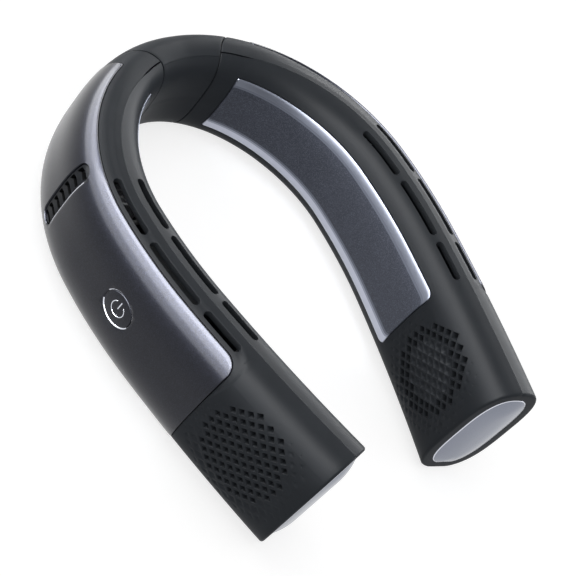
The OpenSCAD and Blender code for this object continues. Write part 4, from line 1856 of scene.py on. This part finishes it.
@dataclass(frozen=True)
class PowerButton:
    """The power button in the left arm's cover, with a generic power sign."""

    arm: Arm
    inset: float = 0.25 * MM
    edge: float = 0.3 * MM
    edge_steps: int = 4
    deep: float = 0.9 * MM
    # Power sign: its ring, the thickness of its line and the gap in the ring
    sign_r: float = 3.9 * MM
    line_r: float = 0.3 * MM
    sign_gap: float = math.radians(68)
    line_sides: int = 12
    sign_steps: int = 48
    # Length and middle of its bar, in rings
    bar_share: float = 1.15
    bar_middle: float = 0.62
    # How much of the line's thickness stays, and how far its middle lies in the disc
    line_flat: float = 0.6
    line_sunk: float = 0.65

    def _disc(self) -> Mesh:
        """Mesh of the button's disc.

        Returns:
            The closed mesh.
        """
        proud = self.arm.cover_proud
        levels = [(self.deep - proud, -self.inset)]
        for t in spread(0.0, QUARTER, self.edge_steps):
            drawn = self.inset + self.edge * (1 - math.cos(t))
            levels.append((self.edge * (1 - math.sin(t)) - proud, -drawn))
        turns = spread(QUARTER, 2.5 * math.pi, self.arm.button_points)[:-1]
        rings = self.arm.button_ring(turns, levels)
        mesh = bmesh.new()
        loft = Loft(mesh, rings[0])
        loft.fold([*loft.ring, loft.ring[0]])
        for ring in rings[1:]:
            loft.grow(ring)
        loft.fold([*loft.ring, loft.ring[0]])
        return mesh

    def _sign(self) -> Mesh:
        """Mesh of the power sign: an open ring and an upright bar.

        Returns:
            The closed mesh.
        """
        arm, mesh, r = self.arm, bmesh.new(), self.line_r
        ring = bmesh.ops.create_circle(mesh, segments=self.line_sides, radius=r)["verts"]
        start = Matrix.Rotation(self.sign_gap / 2, 4, "X")
        start @= Matrix.Translation((0, 0, self.sign_r))
        upright = start @ Matrix.Rotation(QUARTER, 4, "Y")
        bmesh.ops.transform(mesh, matrix=upright, verts=ring)
        across = Matrix.Rotation(QUARTER, 3, "Z")
        bmesh.ops.rotate(mesh, verts=ring, cent=start.to_translation(), matrix=across)
        edges = ring_edges(ring)
        bmesh.ops.edgeloop_fill(mesh, edges=edges)
        bmesh.ops.spin(
            mesh,
            geom=[*ring, *edges],
            cent=(0, 0, 0),
            axis=(1, 0, 0),
            angle=2 * math.pi - self.sign_gap,
            steps=self.sign_steps,
        )
        bar = bmesh.ops.create_cone(
            mesh,
            cap_ends=True,
            segments=self.line_sides,
            radius1=r,
            radius2=r,
            depth=self.bar_share * self.sign_r,
        )["verts"]
        bmesh.ops.translate(mesh, verts=bar, vec=(0, 0, self.bar_middle * self.sign_r))
        proud = arm.loop.out_w + arm.cover_proud - self.line_sunk * r
        place = arm.loop.seat(arm.button_s, proud, arm.button_z)
        flatten = Matrix.Diagonal((self.line_flat, 1, 1, 1))
        bmesh.ops.transform(mesh, matrix=place @ flatten, verts=mesh.verts)
        return mesh

    def build(self, bench: Bench, paints: Paints) -> None:
        """Make and dress the button and its sign.

        Args:
            bench: Finishes the pieces.
            paints: The finishes.
        """
        pieces = (
            ("button_disc", self._disc(), paints.cover, ["power_button"]),
            ("power_sign", self._sign(), paints.silver, []),
        )
        for name, mesh, finish, nodes in pieces:
            bench.lay(name, mesh, Side.LEFT, [finish], "button", nodes)


def dress_nodes(paints: Paints) -> None:
    """Give every CAD node that still shows its finish.

    Args:
        paints: The finishes.
    """
    finishes = {
        "hinge_strap": paints.steel,
        "bridge_screws": paints.steel,
        "cooling_chip": paints.chip,
        "heat_sink": paints.fins,
        "battery": paints.wrap,
        "fan_volute": paints.dark,
        "fan_motor": paints.steel,
        "fan_bush": paints.brass,
        "fan_shaft": paints.steel,
        "impeller": paints.dark,
        "hinge_bracket": paints.steel,
        "hinge_pin": paints.steel,
        "arm_screws": paints.steel,
        "button_switch": paints.dark,
        "control_board": paints.board,
        "charging_port": paints.silver,
    }
    for name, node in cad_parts.items():
        if node.hide_render:
            continue
        finish = next(value for key, value in finishes.items() if name.endswith(key))
        node.data.materials.clear()
        node.data.materials.append(finish)
        LOG.info("%s has the finish %s", name, finish.name)


@dataclass(frozen=True)
class Softbox:
    """A rectangular lamp that looks at the fan, placed by its direction in degrees."""

    name: str
    azimuth: float
    elevation: float
    size: Flat
    level: float
    lights_matte: bool = False
    far: float = 1.5

    def build(self) -> None:
        """Make the lamp, whose level is its radiance."""
        data = bpy.data.lights.new(self.name, "AREA")
        data.shape = "RECTANGLE"
        data.size, data.size_y = self.size
        data.energy = self.level * math.pi * self.size[0] * self.size[1]
        lamp = bpy.data.objects.new(self.name, data)
        turn = Matrix.Rotation(math.radians(self.azimuth), 3, "Z")
        lift = Matrix.Rotation(-math.radians(self.elevation), 3, "Y")
        away = turn @ lift @ Vector((1.0, 0.0, 0.0))
        lamp.location = self.far * away
        lamp.rotation_mode = "QUATERNION"
        lamp.rotation_quaternion = away.to_track_quat("Z", "Y")
        lamp.visible_diffuse = self.lights_matte
        lamp.visible_camera = False
        bpy.context.scene.collection.objects.link(lamp)


@dataclass(frozen=True)
class Studio:
    """Camera, lamps, pale floor and white surroundings."""

    camera_at: Triple = (-596.97 * MM, -261.40 * MM, 640.08 * MM)
    camera_right: Triple = (0.7123, -0.4908, 0.5017)
    camera_ahead: Triple = (0.6732, 0.2756, -0.6862)
    lens: float = 118.3
    sensor: float = 36.0
    clip: Flat = (0.01, 20.0)
    floor_half: float = 6.0
    floor_greys: Flat = (0.40, 0.41)
    speckle: float = 3 * MM
    floor_glow: float = 0.76
    ambient: float = 0.58
    lamps: tuple[Softbox, ...] = (
        Softbox("key", 120.0, 73.0, (0.9, 0.9), 1.5, lights_matte=True),
        Softbox("left_low", 168.0, 9.0, (2.5, 0.58), 7.0),
        Softbox("left_middle", 166.0, 31.0, (2.3, 0.56), 18.0),
        Softbox("left_top", 158.0, 55.0, (1.8, 0.7), 36.0),
        Softbox("back_low", 98.0, 10.0, (1.6, 0.42), 9.0),
        Softbox("back_high", 96.0, 29.0, (1.5, 0.55), 16.0),
        Softbox("right", 14.0, 19.0, (1.5, 0.9), 12.0),
        Softbox("front", 316.0, 12.0, (0.9, 0.36), 4.0),
    )

    def _camera(self) -> None:
        """Put the camera at the photograph's viewing angle."""
        data = bpy.data.cameras.new("camera")
        data.lens, data.sensor_width = self.lens, self.sensor
        data.clip_start, data.clip_end = self.clip
        camera = bpy.data.objects.new("camera", data)
        ahead = Vector(self.camera_ahead).normalized()
        right = Vector(self.camera_right).normalized()
        turn = Matrix((right, right.cross(ahead), -ahead)).transposed()
        camera.matrix_world = Matrix.Translation(self.camera_at) @ turn.to_4x4()
        bpy.context.scene.collection.objects.link(camera)
        bpy.context.scene.camera = camera

    @staticmethod
    def _seen(graph: Graph) -> Signal:
        """Which rays see the white around the fan.

        Args:
            graph: Nodes of the floor or the world.

        Returns:
            One for rays from the camera and those that a gloss or glass sends on, and else zero.
        """
        camera, glossy, glass = (
            graph.node("ShaderNodeLightPath", {}, {}, f"Is {ray} Ray")
            for ray in ("Camera", "Glossy", "Transmission")
        )
        return (camera + glossy + glass).at_most(1.0)

    def _floor(self) -> None:
        """Lay the pale floor, which keeps the object's shadow."""
        graph = FinishGraph("pale_floor")
        low, high = ((grey, grey, grey) for grey in self.floor_greys)
        material = graph.finish(
            Base_Color=graph.blend(graph.noise(self.speckle), low, high),
            Roughness=0.9,
            Specular_IOR_Level=0.0,
            Emission_Color=(1.0, 1.0, 1.0, 1.0),
            Emission_Strength=self._seen(graph) * self.floor_glow,
        )
        mesh = bmesh.new()
        bmesh.ops.create_grid(mesh, x_segments=1, y_segments=1, size=self.floor_half)
        data = bpy.data.meshes.new("floor")
        mesh.to_mesh(data)
        mesh.free()
        data.materials.append(material)
        floor = bpy.data.objects.new("floor", data)
        bpy.context.scene.collection.objects.link(floor)

    def _world(self) -> None:
        """White surroundings that light the fan at a plain level."""
        world = bpy.data.worlds.new("surroundings")
        world.use_nodes = True
        bpy.context.scene.world = world
        graph = Graph(world.node_tree)
        unseen = 1 - self._seen(graph)
        background = world.node_tree.nodes["Background"].inputs
        graph.fill(background["Color"], (1.0, 1.0, 1.0, 1.0))
        graph.fill(background["Strength"], 1 - unseen * (1 - self.ambient))

    def build(self) -> None:
        """Set the whole studio up."""
        bpy.context.scene.view_settings.view_transform = "Standard"
        self._camera()
        self._floor()
        self._world()
        for lamp in self.lamps:
            lamp.build()


def main() -> None:
    """Build the fan's pieces in order, dress the rest and set the studio up."""
    logging.basicConfig(level=logging.INFO, format="%(name)s: %(message)s")
    loop, bench, paints = NeckLoop(), Bench(), Paints()
    arms = {side: Arm(loop, side) for side in Side}
    Bridge(arms[Side.RIGHT]).build(bench, paints)
    for arm in arms.values():
        arm.build(bench, paints)
    PowerButton(arms[Side.LEFT]).build(bench, paints)
    dress_nodes(paints)
    Studio().build()


if __name__ == "__main__":
    main()
